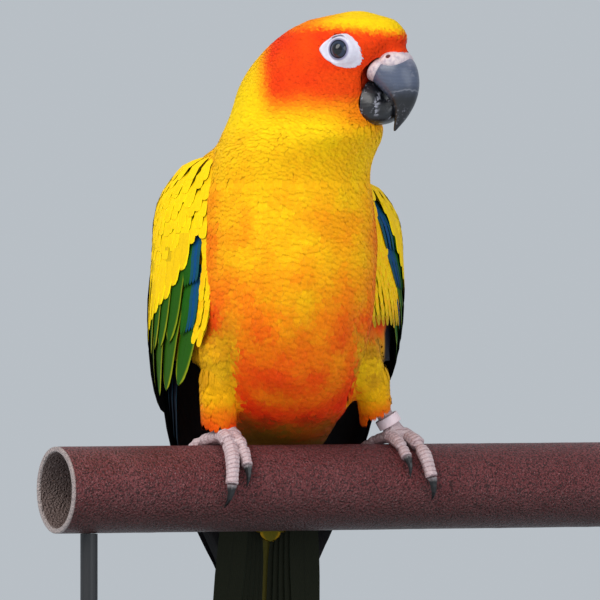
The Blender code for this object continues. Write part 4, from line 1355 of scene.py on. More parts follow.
def lay_tier(gather, side, s_ends, t_ends, lifts, half, thick, colors, rng, tilt=-0.12, cup=0.05, small=True):
    """Adds a row of feathers to a wing. Small ones share one unwrap by place, long ones get a cell each."""
    s_ends = [np.asarray(s, float) for s in s_ends]
    t_ends = [np.asarray(t, float) for t in t_ends]
    count = len(s_ends[0])
    lifts = [np.broadcast_to(lift, (count,)).astype(float) for lift in lifts]
    centers, normals, sides = wing_vanes(side, s_ends, t_ends, lifts)
    if small:
        places = 0.03 + 0.9 * np.stack([np.clip(t_ends[0], 0, 1), s_ends[0]], axis=-1)
        patch = 0.004
    else:
        places, patch = grid_places(count)
    gather.add(centers, normals, sides, half, thick, wing_tone(colors, rng, count), places, cup, tilt, patch)


class CONURE_OT_wings(bpy.types.Operator):
    """Make both folded wings: primaries, secondaries and their coverts in tiers"""

    bl_idname = "conure.wings"
    bl_label = "Wings"

    def execute(self, context):
        for number, side in enumerate(SIGN):
            rng = np.random.default_rng(coat().seed + 20 + number)
            flight_feathers(side, rng)
            long_coverts(side, rng)
            small_coverts(side, rng)
        return {"FINISHED"}


def covert_reach(side, t):
    return np.interp(t, *COVERT_REACH[side])


def streak_edge(side, s):
    return np.interp(s, *STREAK[side])


def flight_feathers(side, rng):
    """Ten primaries under ten secondaries."""
    colors = plumage()
    gather = Vanes(FLIGHT)
    number = np.arange(10.0)
    share = number / 9.0
    centers, normals, sides = wing_vanes(
        side,
        (np.full(10, 0.42), 0.90 + 0.17 * share**0.8),
        (0.62 - 0.05 * number, 1.0 - 0.065 * number),
        (-1.0 - 0.42 * number, 1.4 - 0.42 * number),
        10,
    )
    # The tips close in over the tail
    centers[..., 0] -= SIGN[side] * 7.5 * ease(-centers[..., 2], 14.0, 54.0)
    places, cell = grid_places(20)
    tone = wing_tone((colors.ink, blend_colors(colors.blue, colors.green, 0.35), colors.under), rng, 10)
    gather.add(centers, normals, sides, 6.2 - 2.0 * share, FLIGHT_THICK, tone, places[:10], 0.05, -0.05, cell)
    t = 0.11 + 0.86 * share if side == "left" else 0.03 + 0.94 * share
    centers, normals, sides = wing_vanes(
        side,
        (np.full(10, 0.27), 0.55 + 0.12 * share + 0.18 * share**3),
        (t, t + 0.015 + (0.24 if side == "left" else 0.0) * (1.0 - share)),
        (-0.8, 0.7 + 0.5 * share),
        10,
    )
    body = blend_colors(colors.green, colors.olive, 0.06 + 0.5 * share)
    edge = blend_colors(colors.leaf, colors.yellow, 0.22 + 0.3 * share)
    tone = wing_tone((body, edge, colors.under), rng, 10)
    gather.add(centers, normals, sides, 5.2, FLIGHT_THICK, tone, places[10:], 0.05, -0.14, cell)
    gather.piece("flight_feathers_" + side, "wing_green", "wing_" + side)


def long_coverts(side, rng):
    """Greater coverts, the blue streak of primary coverts, and median coverts."""
    colors = plumage()
    gather = Vanes(FLIGHT)
    count = 12
    share = np.linspace(0.0, 1.0, count)
    t = 0.125 + 0.775 * share
    body = blend_colors(colors.green, colors.olive, 0.06 + 0.25 * share)
    edge = blend_colors(colors.leaf, colors.yellow, 0.20 + 0.5 * share)
    s_ends = (np.full(count, 0.17), 0.455 + 0.03 * np.sin(math.pi * share) + jitter(rng, count, 0.008))
    t_ends = (t, t + 0.01 + (0.22 if side == "left" else 0.0) * (1.0 - share))
    tone = (body, edge, colors.under)
    lay_tier(gather, side, s_ends, t_ends, (-0.8, 1.5), 4.6, 0.3, tone, rng, small=False)
    count = 5
    share = np.linspace(0.0, 1.0, count)
    reach = 0.05 if side == "right" else 0.13
    for row, (top, tip) in enumerate(STREAK_ROWS[side]):
        greener = np.abs(share - 0.25) * 3.2 - 0.45
        body = blend_colors(colors.blue, colors.green, greener)
        edge = blend_colors(colors.blue, colors.green, greener + 0.4)
        t_ends = (streak_edge(side, top) + reach * share, streak_edge(side, tip) + reach * share)
        s_ends = (np.full(count, top), tip + 0.012 * share)
        lift = (-0.6, 1.75 - 0.2 * row)
        lay_tier(gather, side, s_ends, t_ends, lift, 1.5, 0.2, (body, edge, colors.under), rng, small=False)
    gather.piece("greater_coverts_" + side, "wing_green")
    gather = Vanes(COVERT)
    count = 20
    share = np.linspace(0.0, 1.0, count)
    t = (0.13 if side == "left" else 0.085) + 0.84 * share
    s_tip = covert_reach(side, t) + jitter(rng, count, 0.008)
    body = blend_colors(colors.yellow, colors.olive, 0.12 + jitter(rng, count, 0.10))
    tone = (body, colors.lemon, colors.under)
    lay_tier(gather, side, (s_tip - 0.17, s_tip), (t, t + 0.01), (-0.5, 2.1), 3.4, 0.22, tone, rng, -0.05)
    gather.piece("median_coverts_" + side, "plumage_gold", soft=0.6)


def small_coverts(side, rng):
    """Yellow lesser coverts in rows over the shoulder, and the yellow edge down the wing's front."""
    colors = plumage()
    gather = Vanes(COVERT)
    for row, s in enumerate(np.arange(0.38, 0.015, -0.02)):
        chord = wing_surface(side, s, np.linspace(0.0, 1.0, 9), 0.0)
        across = np.linalg.norm(np.diff(chord, axis=0), axis=1).sum()
        count = max(6, int(across / 2.6))
        t = (np.arange(count) + 0.5 * (row % 2)) / count + jitter(rng, count, 0.012)
        tip = s + 0.066 + jitter(rng, count, 0.008)
        fits = tip < covert_reach(side, t) - 0.01
        t, tip = t[fits], tip[fits]
        if not len(t):
            continue
        s_root = np.full(len(t), s)
        marked = 0.03 + 0.35 * (rng.random(len(t)) > 0.95) * ease(s_root, 0.1, 0.2)
        body = blend_colors(colors.yellow, colors.olive, marked)
        edge = blend_colors(colors.lemon, colors.yellow, rng.random(len(t)))
        lifts = (-0.6, 1.9 + jitter(rng, len(t), 0.06))
        tone = (body, edge, colors.gold)
        lay_tier(gather, side, (s_root, tip), (t, t), lifts, 2.1, 0.1, tone, rng, -0.02, 0.02)
    s = np.arange(0.03, 0.36 if side == "left" else 0.42, 0.014)
    for column in range(9 if side == "left" else 2):
        s_root = s + jitter(rng, len(s), 0.004)
        if side == "left":
            across = -0.05 + (streak_edge(side, s_root + 0.02) + 0.05) * column / 8.0
        else:
            across = np.full(len(s), -0.03 + 0.025 * column)
        across = across + jitter(rng, len(s), 0.004)
        body = blend_colors(colors.yellow, colors.gold, rng.random(len(s)))
        low = ease(s_root, 0.30, 0.37) if side == "left" else 0.4 * ease(s_root, 0.40, 0.48)
        body = blend_colors(body, colors.olive, 0.75 * low)
        edge = blend_colors(colors.lemon, colors.yellow, rng.random(len(s)))
        edge = blend_colors(edge, colors.olive, 0.5 * low)
        t_ends = (across, across + (0.012 if side == "left" else 0.0))
        tone = (body, edge, colors.gold)
        s_ends = (s_root, s_root + 0.048)
        lay_tier(gather, side, s_ends, t_ends, (-0.8, 1.35), 1.25, 0.1, tone, rng, -0.02, 0.02)
    gather.piece("lesser_coverts_" + side, "plumage_gold", soft=0.8)


# Tail


class CONURE_OT_tail(bpy.types.Operator):
    """Make twelve tail feathers, the middle pair longest, with coverts over and under their roots"""

    bl_idname = "conure.tail"
    bl_label = "Tail"

    def execute(self, context):
        colors = plumage()
        gather = Vanes(FLIGHT)
        places, cell = grid_places(12)
        for pair, length in enumerate(TAIL_LENGTHS):
            for number, side in enumerate((-1, 1)):
                along = np.linspace(2.0, length, 10)
                middle = side * (4.0 + pair * (1.5 + 0.012 * along))
                layer = 2.3 - pair * 0.9
                body = blend_colors(colors.olive, colors.blue, ease(pair, 0.0, 2.0) * 0.6)
                tone = (body * 0.7, blend_colors(colors.green, colors.blue, 0.3), srgb(24, 26, 13))
                if pair == 0:
                    below = blend_colors(colors.olive, colors.ink, 0.4)
                    tone = (blend_colors(colors.green, colors.olive, 0.5), colors.leaf, below)
                add_tail_feather(gather, along, middle, layer, 5.3, tone, places[2 * pair + number], cell)
        gather.piece("tail_feathers", "tail_olive", "tail")
        gather = Vanes(COVERT)
        for face in (1, -1):
            for row, (count, start, length, away) in enumerate(COVERT_ROWS):
                for number in range(count):
                    x = 20.0 * (number / (count - 1) - 0.5) * (1.0 - 0.12 * row)
                    shorter = 1.0 if face > 0 else 0.78
                    end = start + length * shorter * (1.0 - 0.4 * abs(x) / 10.0)
                    along = np.linspace(start, end, 8)
                    lift = face * np.linspace(3.4, away - 0.12 * abs(x), 8)
                    body, edge = blend_colors(colors.olive, colors.leaf, 0.4), colors.leaf
                    if face < 0:
                        body = blend_colors(colors.olive, colors.rust, 0.1 * row)
                        edge = blend_colors(colors.olive, colors.gold, 0.25)
                    tone = (body, edge, colors.under)
                    high = 0.1 + 0.2 * row + (0.4 if face > 0 else 0.0)
                    place = np.array([0.1 + 0.8 * number / count, high])
                    add_tail_feather(gather, along, x, lift, 4.2, tone, place, 0.02, face)
        gather.piece("tail_coverts", "tail_olive")
        return {"FINISHED"}


def add_tail_feather(gather, along, x, layer, half, tone, place, cell, face=1):
    """One feather of the tail: places along it, across the tail and out of its plane, in mm."""
    along, x, layer = (values[:, None] for values in np.broadcast_arrays(along, x, layer))
    across = np.array([1.0, 0.0, 0.0])
    center = TAIL_ROOT + TAIL_DOWN * along + TAIL_BACK * layer + across * x
    normal = np.tile(TAIL_BACK * face, (len(along), 1))
    side = np.tile(across, (len(along), 1))
    colors = [np.asarray(color, float)[None] for color in tone]
    center, normal, side, place = (values[None] for values in (center, normal, side, place))
    gather.add(center, normal, side, half, FLIGHT_THICK, colors, place, 0.06, 0.0, cell)


# Eyes


def eye_point(sign, forward, up, out):
    """A place by the eye: forward and up from its middle, and out from the head's middle plane."""
    return head_point(EYE_ALONG + forward, sign * out, EYE_HEIGHT + up)


class CONURE_OT_eyes(bpy.types.Operator):
    """Make the eyes, their lids and the bare white skin round them"""

    bl_idname = "conure.eyes"
    bl_label = "Eyes and lids"

    def execute(self, context):
        surface = skin_surface()
        for side, sign in SIGN.items():
            eyeball(side, sign)
            eye_surround(side, sign, surface)
        return {"FINISHED"}


def eyeball(side, sign):
    deselect()
    place = to_frame(eye_point(sign, 0.0, 0.0, EYE_IN))
    bpy.ops.mesh.primitive_uv_sphere_add(
        segments=48, ring_count=32, radius=EYE_RADIUS * MM, location=(0, 0, 0)
    )
    piece = bpy.context.object
    piece.name = "eye_ball_" + side
    points = points_of(piece)
    # The pole becomes the pupil's middle, and the cornea stands out a little over it
    ring = np.hypot(points[:, 0], points[:, 1]) / MM
    ahead = points[:, 2] > 0
    points[:, 2] += np.where(ahead, 0.35 * (1.0 - ease(ring, 0.0, 2.6)), 0.0) * MM
    out = HEAD_LEFT * sign
    axes = np.stack([HEAD_AHEAD, np.cross(out, HEAD_AHEAD), out])
    set_points(piece, points @ axes @ TURN.T + place)
    outward(piece)
    set_attribute(piece, "ring", np.where(ahead, ring, 5.0), "FLOAT")
    finish_smooth(piece, "eye", "eye", "eye_" + side)


def eye_surround(side, sign, surface):
    """The lid's rim, a groove, a fold and the bare patch, whose edge dips under the feathers."""
    count = 72
    around = np.linspace(0.0, 2.0 * math.pi, count, endpoint=False)
    forward, up = np.cos(around), np.sin(around)
    reach = patch_reach(forward, up)
    out = Vector(HEAD_LEFT * sign)

    def skin_out(radius):
        heights = []
        for f, z, r in zip(forward, up, radius):
            start = Vector(eye_point(sign, f * r, z * r, 30.0))
            hit, _, _, _ = surface.tree.ray_cast(start, -out)
            if hit is None:
                hit, _, _, _ = surface.tree.find_nearest(eye_point(sign, f * r, z * r, 10.0))
            heights.append(sign * float(np.array(hit - Vector((*HEAD_PIVOT, 0.0))) @ HEAD_LEFT))
        around_it = [np.roll(heights, shift) for shift in range(-3, 4)]
        return np.median(around_it, axis=0)

    rings = []
    for radius, height in LID:
        rings.append((np.full(count, radius), np.full(count, height)))
    for share, lift in SURROUND:
        radius = BARE_START + (reach - BARE_START) * share
        settled = np.clip((reach - BARE_START) / 1.6, 0.45, 1.0) * min(share / 0.6, 1.0)
        rings.append((radius, 15.0 + (skin_out(radius) + lift - 15.0) * settled))
    radius = BARE_START + (reach - BARE_START) * 0.9
    rings.append((radius, skin_out(radius) - 2.2))
    rings.append((np.full(count, 2.6), np.full(count, 11.5)))
    shaped = []
    for radius, height in rings:
        places = [eye_point(sign, f * r, z * r, h) for f, z, r, h in zip(forward, up, radius, height)]
        shaped.append(to_frame(np.array(places)))
    piece = sweep("eyelids_" + side, shaped)
    along, _, height = head_places(to_bird(points_of(piece)))
    set_attribute(piece, "ring", np.hypot(along - EYE_ALONG, height - EYE_HEIGHT), "FLOAT")
    modify(piece, "SUBSURF", levels=1, render_levels=1)
    finish_smooth(piece, "bare_skin", "plumage_red")


# Bill


def bill_rings(rows, stations, count, ridge, edge):
    """Rings through a bill's rows: each an oval, drawn out to a ridge on top and to a cutting edge below."""
    table = [(number, *row) for number, row in enumerate(rows)]
    found = smooth_rows(table, np.linspace(0.0, len(rows) - 1.0, stations))
    around = np.linspace(0.0, 2.0 * math.pi, count, endpoint=False)
    rings = []
    for along, height, slope, depth, width in found:
        tilt = math.radians(slope)
        up = np.cos(around) * depth
        left = np.sin(around) * width * (1.0 + edge * np.clip(-np.cos(around), 0.0, 1.0) ** 2)
        up = up * (1.0 + ridge * np.clip(np.cos(around), 0.0, 1.0) ** 6)
        ahead, above = along - math.sin(tilt) * up, height + math.cos(tilt) * up
        places = [head_point(*place) for place in zip(ahead, left, above)]
        rings.append(to_frame(np.array(places)))
    return rings


class CONURE_OT_bill(bpy.types.Operator):
    """Make both halves of the bill and the cere with its nostrils"""

    bl_idname = "conure.bill"
    bl_label = "Bill and cere"

    def execute(self, context):
        upper = sweep("bill_upper_shape", bill_rings(UPPER_BILL, 56, 48, 0.03, 0.04))
        finish_smooth(upper, "bill", "bill", "bill_upper", degrees=60)
        lower = sweep("bill_lower_shape", bill_rings(LOWER_BILL, 30, 40, 0.0, 0.5))
        finish_smooth(lower, "lower_bill", "bill", "bill_lower", degrees=60)
        cere()
        return {"FINISHED"}


def cere():
    """A swollen pad over the bill with two nostrils, and a thin collar down both sides to the gape."""
    deselect()
    bpy.ops.mesh.primitive_uv_sphere_add(segments=32, ring_count=20, radius=1.0, location=(0, 0, 0))
    pad = bpy.context.object
    points = points_of(pad)
    places = [head_point(*place) for place in CERE_MIDDLE + CERE_RADII * points]
    set_points(pad, to_frame(np.array(places)))
    outward(pad)
    collar = sweep("collar", bill_rings(CERE_COLLAR, 14, 48, 0.0, 0.0))
    piece = join([pad, collar], "cere_skin")
    remesh(piece, 0.25 * MM, 4)
    points = to_bird(points_of(piece))
    gaps = [nostril_gap(head_places(points), sign) for sign in (-1, 1)]
    hollow = 1.0 - ease(np.minimum(*gaps), 0.5, 1.25)
    set_points(piece, points_of(piece) - normals_of(piece) * (hollow * NOSTRIL_DEPTH * MM)[:, None])
    # The ring attribute marks the nostril hollows, which the material paints dark as painted shade
    set_attribute(piece, "ring", hollow, "FLOAT")
    finish_smooth(piece, "cere", "bill")


# Feet, claws and band


def round_pipe(points):
    """Turn round the pipe's axis in degrees, 0 on top, and distance from it in mm."""
    y, z = points[:, 1], points[:, 2] - PIPE_AXIS_Z
    return np.degrees(np.arctan2(-y, z)), np.hypot(y, z) / MM


class CONURE_OT_feet(bpy.types.Operator):
    """Make the scaled feet and shanks, the claws and the plain leg band"""

    bl_idname = "conure.feet"
    bl_label = "Feet, claws and band"

    def execute(self, context):
        for side in SIGN:
            foot(side)
            for number in range(1, 5):
                claw(f"claw_{side}_{number}")
        band()
        return {"FINISHED"}


def foot(side):
    piece = copy_node("foot_" + side, "foot_skin_" + side)
    remesh(piece, 0.34 * MM, 5)
    points = points_of(piece)
    turn, away = round_pipe(points)
    shank = ease(away, PIPE_RADIUS / MM + 6.0, PIPE_RADIUS / MM + 8.0)
    rings = np.abs(np.sin(np.radians(turn) * PIPE_RADIUS / MM * 2.5)) * (1.0 - shank)
    rings = rings + np.abs(np.sin(away * 1.9)) * shank
    top = ease(away, PIPE_RADIUS / MM + 1.2, PIPE_RADIUS / MM + 3.0)
    set_points(piece, points + normals_of(piece) * (0.13 * (rings - 0.5) * top * MM)[:, None])
    # The ring is low in the grooves between the scales and on the toes' undersides against the pipe; the material
    # darkens these places as painted shade
    set_attribute(piece, "ring", rings * top, "FLOAT")
    finish_smooth(piece, "foot", "foot", "foot_" + side)


def claw(node):
    piece = copy_node(node, "horn_" + node)
    remesh(piece, 0.16 * MM, 3)
    turn, _ = round_pipe(points_of(piece))
    slim = 0.22 * MM * ease(np.abs(turn - turn[np.abs(turn).argmin()]), 2.0, 8.0)
    set_points(piece, points_of(piece) - normals_of(piece) * slim[:, None])
    start, end = (turn.min(), turn.max()) if abs(turn.min()) < abs(turn.max()) else (turn.max(), turn.min())
    set_attribute(piece, "ring", (turn - start) / (end - start), "FLOAT")
    finish_smooth(piece, "claw", "claw", node)


def band():
    piece = copy_node("leg_band", "plain_leg_band")
    modify(piece, "BEVEL", width=0.18 * MM, segments=3, limit_method="ANGLE", angle_limit=math.radians(50.0))
    modify(piece, "SUBSURF", levels=1, render_levels=1)
    finish_smooth(piece, "band", "band", "leg_band", degrees=40)


# Perch and stand


class CONURE_OT_perch(bpy.types.Operator):
    """Turn the cut pipe from its wall's section, with broken edges at both mouths"""

    bl_idname = "conure.perch"
    bl_label = "Perch"

    def execute(self, context):
        deselect()
        length = PIPE_HIGH.x - PIPE_LOW.x
        wall = PIPE_WALL * MM
        bpy.ops.mesh.primitive_plane_add(size=1.0, location=(0, 0, 0))
        piece = bpy.context.object
        piece.name = "painted_pipe"
        flat = points_of(piece)
        middle = PIPE_RADIUS - wall / 2
        section = [flat[:, 0] * length, 0.0 * flat[:, 0], PIPE_AXIS_Z + middle + flat[:, 1] * wall]
        set_points(piece, np.stack(section, axis=-1))
        bpy.ops.object.mode_set(mode="EDIT")
        bpy.ops.mesh.select_all(action="SELECT")
        bpy.ops.mesh.bevel(offset=0.45 * MM, segments=3, affect="VERTICES")
        bpy.ops.mesh.delete(type="ONLY_FACE")
        bpy.ops.mesh.select_all(action="SELECT")
        bpy.ops.mesh.spin(steps=144, angle=2 * math.pi, center=(0, 0, PIPE_AXIS_Z), axis=(1, 0, 0))
        bpy.ops.object.mode_set(mode="OBJECT")
        outward(piece)
        shape = bmesh.new()
        shape.from_mesh(piece.data)
        long = [edge for edge in shape.edges if edge.calc_length() > 0.9 * (length - 1.2 * MM)]
        bmesh.ops.subdivide_edges(shape, edges=long, cuts=59, use_grid_fill=True)
        shape.to_mesh(piece.data)
        shape.free()
        points = points_of(piece)
        grain = lattice_noise(points / MM, 3.5, 11) - 0.5
        turn, away = round_pipe(points)
        outer = ease(away, PIPE_RADIUS / MM - 0.9, PIPE_RADIUS / MM - 0.1)
        spread = np.stack([0.0 * turn, -np.sin(np.radians(turn)), np.cos(np.radians(turn))], axis=-1)
        set_points(piece, points + spread * (grain * outer * 0.12 * MM)[:, None])
        finish_smooth(piece, "pipe_paint", "pipe", "perch", degrees=50)
        return {"FINISHED"}


class CONURE_OT_stand(bpy.types.Operator):
    """Paint the display stand's base and rods"""

    bl_idname = "conure.stand"
    bl_label = "Stand"

    def execute(self, context):
        for node, part in frame["nodes"].items():
            if node.startswith("stand_"):
                part.data.materials.clear()
                part.data.materials.append(material("stand_paint"))
        return {"FINISHED"}


# The rest of the materials


def eye_material():
    paint = Paint("eye", roughness=0.06, specular_ior_level=0.4, coat_weight=0.25, coat_roughness=0.02)
    ring = paint.attribute("ring", "Fac")
    streaks = paint.noise(2600.0, 2.0)
    ink = srgb(5, 6, 10)
    iris = paint.blend(srgb(14, 20, 34), srgb(38, 52, 76), streaks)
    color = paint.blend(ink, iris, ring.ease(1.75, 2.15))
    color = paint.blend(color, srgb(12, 13, 20), ring.ease(2.75, 3.1))
    paint.feed(base_color=color)
    return paint


def bare_skin_material():
    paint = Paint("bare_skin", roughness=0.5, specular_ior_level=0.35)
    ring = paint.attribute("ring", "Fac")
    lumps = paint.noise(900.0, 4.0)
    veins = paint.noise(420.0, 5.0)
    color = paint.blend(hard().bare_skin, srgb(200, 190, 205), lumps)
    color = paint.blend(color, srgb(214, 150, 140), (ring.ease(5.5, 9.0)) * veins.ease(0.5, 0.68) * 0.6)
    lid = 1.0 - ring.ease(3.6, 4.2)
    color = paint.blend(color, srgb(126, 122, 150), lid)
    color = paint.blend(color, srgb(40, 38, 50), 1.0 - ring.ease(3.15, 3.45))
    folds = (ring * 7.5 + lumps * 3.0).sine()
    paint.feed(base_color=color, normal=paint.bump(folds * 0.12 + lumps, 0.00014, 0.6))
    return paint


def bill_material(name="bill", dark_below=121.0, light_above=129.0, flaked=0.35, creased=0.6):
    """Horn with fine growth lines and pale flakes: dark low down, with a pale crease over the darker part."""
    paint = Paint(name, roughness=0.34, specular_ior_level=0.5, coat_weight=0.15, coat_roughness=0.25)
    place = paint.place()
    x, y, z = paint.parts(place)
    # In mm: up from the pipe's top, and to the right in the photo's view
    height = (z - PIPE_HIGH.z) * 1000.0
    sideways = x * 891.0 - y * 454.0
    cloud = paint.noise(140.0, 4.0)
    fine = paint.noise(900.0, 5.0)
    lines = paint.make("TexWave", {"wave_type": "BANDS", "bands_direction": "Z"}, {
        "Vector": place, "Scale": 260.0, "Distortion": 6.0, "Detail": 3.0,
    })
    uneven = height + cloud * 5.0
    color = paint.blend(hard().bill_dark, hard().bill_light, uneven.ease(dark_below, light_above))
    color = paint.blend(color, srgb(146, 142, 158), (height + cloud * 12.0).ease(136.0, 143.0) * 0.7)
    crease = (1.0 - (uneven - 124.8).size().ease(0.1, 0.5)) * sideways.ease(9.0, 13.0) * creased
    color = paint.blend(color, srgb(120, 122, 132), crease)
    flakes = fine.ease(0.55, 0.62) * cloud.ease(0.46, 0.58)
    worn = 1.0 - (sideways - 5.2 + (cloud - 0.5) * 9.0).size().ease(0.3, 1.5)
    worn = worn * (1.0 - (height - 118.2).size().ease(3.4, 4.6)) * fine.ease(0.46, 0.54) * (1.0 - creased)
    flakes = flakes.math("MAXIMUM", worn)
    color = paint.blend(color, srgb(136, 136, 146), flakes * flaked)
    paint.feed(base_color=paint.shade(color, lines * 0.12 + 0.94), roughness=fine * 0.25 + 0.24)
    paint.feed(normal=paint.bump(lines * 0.4 + fine - crease * 1.5, 0.00008, 0.5))
    return paint


def lower_bill_material():
    """The same horn on the lower half, which is dark all over and flakes more. Its top is kept dark too: painted shade
    over the horn's own dark grey.
    """
    return bill_material("lower_bill", 136.0, 142.0, 0.9, 0.0)


def cere_material():
    paint = Paint("cere", roughness=0.55, specular_ior_level=0.35)
    hollow = paint.attribute("ring", "Fac")
    lumps = paint.noise(700.0, 4.0)
    color = paint.blend(hard().cere, srgb(176, 160, 170), lumps.ease(0.35, 0.7))
    # Painted shade: the nostril hollows are painted dark red-brown
    color = paint.blend(color, srgb(84, 26, 22), hollow.ease(0.15, 0.6))
    paint.feed(base_color=color, normal=paint.bump(lumps, 0.00015, 0.6))
    return paint


def foot_material():
    paint = Paint("foot", roughness=0.55, specular_ior_level=0.4)
    ring = paint.attribute("ring", "Fac")
    cells = paint.spots(1500.0)
    cloud = paint.noise(260.0, 4.0)
    # Painted shade: the skin is darker in the grooves between the scales and on the toes' undersides against the pipe
    color = paint.blend(hard().foot, srgb(164, 134, 136), 1.0 - ring.ease(0.1, 0.6))
    color = paint.blend(color, srgb(222, 204, 204), cloud.ease(0.5, 0.75) * 0.6)
    # Painted shade: each scale also darkens towards its sunken edge
    paint.feed(base_color=paint.shade(color, cells * -0.25 + 1.08))
    paint.feed(normal=paint.bump(cells * -1.6 + ring * 0.4 + cloud, 0.0002, 0.9))
    return paint


def claw_material():
    paint = Paint("claw", roughness=0.3, specular_ior_level=0.5)
    ring = paint.attribute("ring", "Fac")
    grain = paint.noise(1200.0, 3.0)
    color = paint.blend(srgb(120, 110, 112), hard().claw, (ring + grain * 0.2).ease(0.1, 0.28))
    paint.feed(base_color=color, roughness=grain * 0.25 + 0.22, normal=paint.bump(grain, 0.00004, 0.5))
    return paint


def band_material():
    paint = Paint("band", roughness=0.3, specular_ior_level=0.5)
    scuffs = paint.noise(800.0, 4.0)
    paint.feed(base_color=paint.shade(hard().band, scuffs * 0.25 + 0.86), roughness=scuffs * 0.3 + 0.18)
    paint.feed(normal=paint.bump(scuffs, 0.00003, 0.4))
    return paint


def pipe_paint_material():
    paint = Paint("pipe_paint", roughness=0.6, specular_ior_level=0.4)
    place = paint.place()
    x, y, z = paint.parts(place)
    away = ((y * y) + (z - PIPE_AXIS_Z) * (z - PIPE_AXIS_Z)).power(0.5)
    inside = 1.0 - (away * 1000.0).ease(PIPE_RADIUS / MM - 1.5, PIPE_RADIUS / MM - 1.1)
    mouth = (x.size() * 1000.0).ease(116.9, 117.5)
    grit = paint.noise(1500.0, 3.0)
    lumps = paint.spots(1150.0)
    cloud = paint.noise(60.0, 4.0)
    specks = paint.noise(2400.0, 2.0)
    color = paint.blend(hard().paint, srgb(140, 78, 80), cloud.ease(0.4, 0.75) * 0.5)
    color = paint.blend(color, srgb(62, 22, 22), grit.ease(0.44, 0.60))
    color = paint.blend(color, srgb(186, 150, 150), specks.ease(0.62, 0.72) * 0.55)
    # Painted shade: the paint is darkened towards the pipe's underside, where less light falls
    low = (z * 1000.0).ease(PIPE_AXIS_Z / MM + 4.0, PIPE_AXIS_Z / MM - 15.0)
    color = paint.blend(color, srgb(44, 24, 18), low * 0.7)
    rust = paint.blend(srgb(86, 66, 62), srgb(134, 116, 110), grit)
    color = paint.blend(color, rust, inside)
    color = paint.blend(color, srgb(186, 172, 168), mouth * 0.8)
    paint.feed(base_color=color, roughness=grit * 0.3 + 0.26)
    paint.feed(normal=paint.bump(grit * 1.2 - lumps * 0.8, 0.0011, 1.0))
    return paint


def stand_paint_material():
    paint = Paint("stand_paint", roughness=0.45, specular_ior_level=0.45)
    grain = paint.noise(1800.0, 3.0)
    cloud = paint.noise(30.0, 3.0)
    paint.feed(base_color=paint.shade(hard().stand, cloud * 0.4 + 0.8), roughness=cloud * 0.15 + 0.36)
    paint.feed(normal=paint.bump(grain, 0.00004, 0.4))
    return paint


def floor_material():
    paint = Paint("floor", roughness=0.9, specular_ior_level=0.1)
    cloud = paint.noise(3.0, 2.0)
    paint.feed(base_color=paint.shade(stage_settings().floor, cloud * 0.04 + 0.98))
    return paint


# Stage


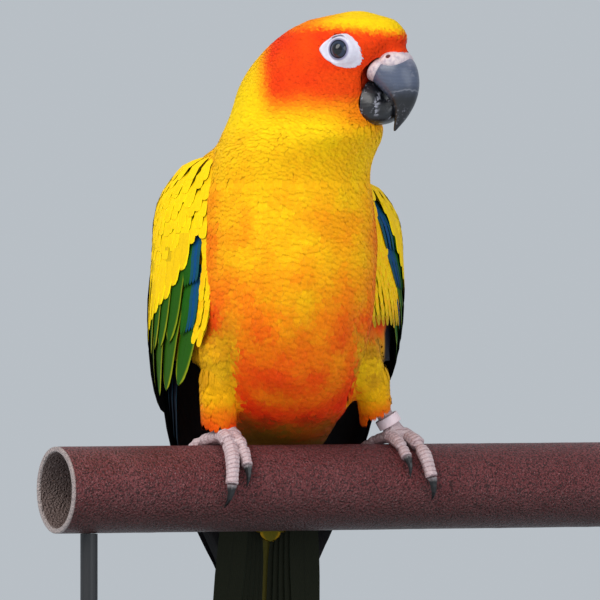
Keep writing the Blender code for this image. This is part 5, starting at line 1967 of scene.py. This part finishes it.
class CONURE_OT_stage(bpy.types.Operator):
    """Set up the pale floor, the soft lights and the camera"""

    bl_idname = "conure.stage"
    bl_label = "Stage"

    def execute(self, context):
        settings = stage_settings()
        scene = context.scene
        # The floor ends just below the camera's view, so the pale studio behind is plain from every side
        deselect()
        bpy.ops.mesh.primitive_circle_add(
            vertices=96, radius=FLOOR_RADIUS, fill_type="TRIFAN", location=(0, 0, 0)
        )
        floor = bpy.context.object
        floor.name = "floor"
        floor.data.materials.append(material("floor"))
        smooth_shade(floor)
        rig.stage(floor)

        lights = (
            ("key", KEY_PLACE, 1.7, settings.key, (1.0, 0.98, 0.95)),
            ("fill", FILL_PLACE, 1.4, settings.fill, (0.92, 0.96, 1.0)),
        )
        for name, place, size, power, tint in lights:
            data = bpy.data.lights.new(name, "AREA")
            data.shape, data.size, data.energy, data.color = "DISK", size, power, tint
            light = bpy.data.objects.new(name, data)
            scene.collection.objects.link(light)
            light.location = place
            light.rotation_euler = (LIGHTS_AIM - light.location).to_track_quat("-Z", "Y").to_euler()
        world = bpy.data.worlds.new("studio")
        world.use_nodes = True
        background = world.node_tree.nodes["Background"]
        background.inputs["Color"].default_value = (0.86, 0.93, 1.0, 1.0)
        background.inputs["Strength"].default_value = 0.56
        scene.world = world
        scene.view_settings.view_transform = "Standard"
        scene.view_settings.look = "None"
        camera = bpy.data.cameras.new("camera")
        camera.sensor_width = 36.0
        camera.lens = VIEW_LENS * settings.distance / VIEW_DISTANCE
        camera.clip_end = 20.0
        holder = bpy.data.objects.new("camera", camera)
        scene.collection.objects.link(holder)
        holder.location = VIEW_MIDDLE + VIEW_BACK * settings.distance
        holder.rotation_euler = (-VIEW_BACK).to_track_quat("-Z", "Y").to_euler()
        scene.camera = holder
        return {"FINISHED"}


# The add-on


class CONURE_PT_panel(bpy.types.Panel):
    """Lists every piece of the conure in the order that they are made"""

    bl_idname = "CONURE_PT_panel"
    bl_label = "Sun Conure"
    bl_space_type = "VIEW_3D"
    bl_region_type = "UI"
    bl_category = "Conure"

    def draw(self, context):
        for operator in OPERATORS:
            self.layout.operator(operator.bl_idname)
        for settings in (plumage(), coat(), hard(), stage_settings()):
            column = self.layout.column(align=True)
            for name in settings.__annotations__:
                column.prop(settings, name)


OPERATORS = (
    CONURE_OT_skin,
    CONURE_OT_coat,
    CONURE_OT_wings,
    CONURE_OT_tail,
    CONURE_OT_eyes,
    CONURE_OT_bill,
    CONURE_OT_feet,
    CONURE_OT_perch,
    CONURE_OT_stand,
    CONURE_OT_stage,
)
SETTINGS = {
    "conure_plumage": PlumageColors,
    "conure_coat": CoatSizes,
    "conure_hard": HardColors,
    "conure_stage": StageSettings,
}


def register():
    for group in SETTINGS.values():
        bpy.utils.register_class(group)
    for operator in OPERATORS:
        bpy.utils.register_class(operator)
    bpy.utils.register_class(CONURE_PT_panel)
    for name, group in SETTINGS.items():
        setattr(bpy.types.Scene, name, bpy.props.PointerProperty(type=group))


def unregister():
    for name in SETTINGS:
        delattr(bpy.types.Scene, name)
    bpy.utils.unregister_class(CONURE_PT_panel)
    for operator in reversed(OPERATORS):
        bpy.utils.unregister_class(operator)
    for group in reversed(SETTINGS.values()):
        bpy.utils.unregister_class(group)


def main():
    register()
    for operator in OPERATORS:
        getattr(bpy.ops.conure, operator.bl_idname.split(".")[1])()
    boxes = {"cad": [list(corner) for corner in CAD_BOX], "visual": [list(corner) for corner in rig.bounds()]}
    with open("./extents.json", "w") as file:
        json.dump(boxes, file)


if __name__ == "__main__":
    main()
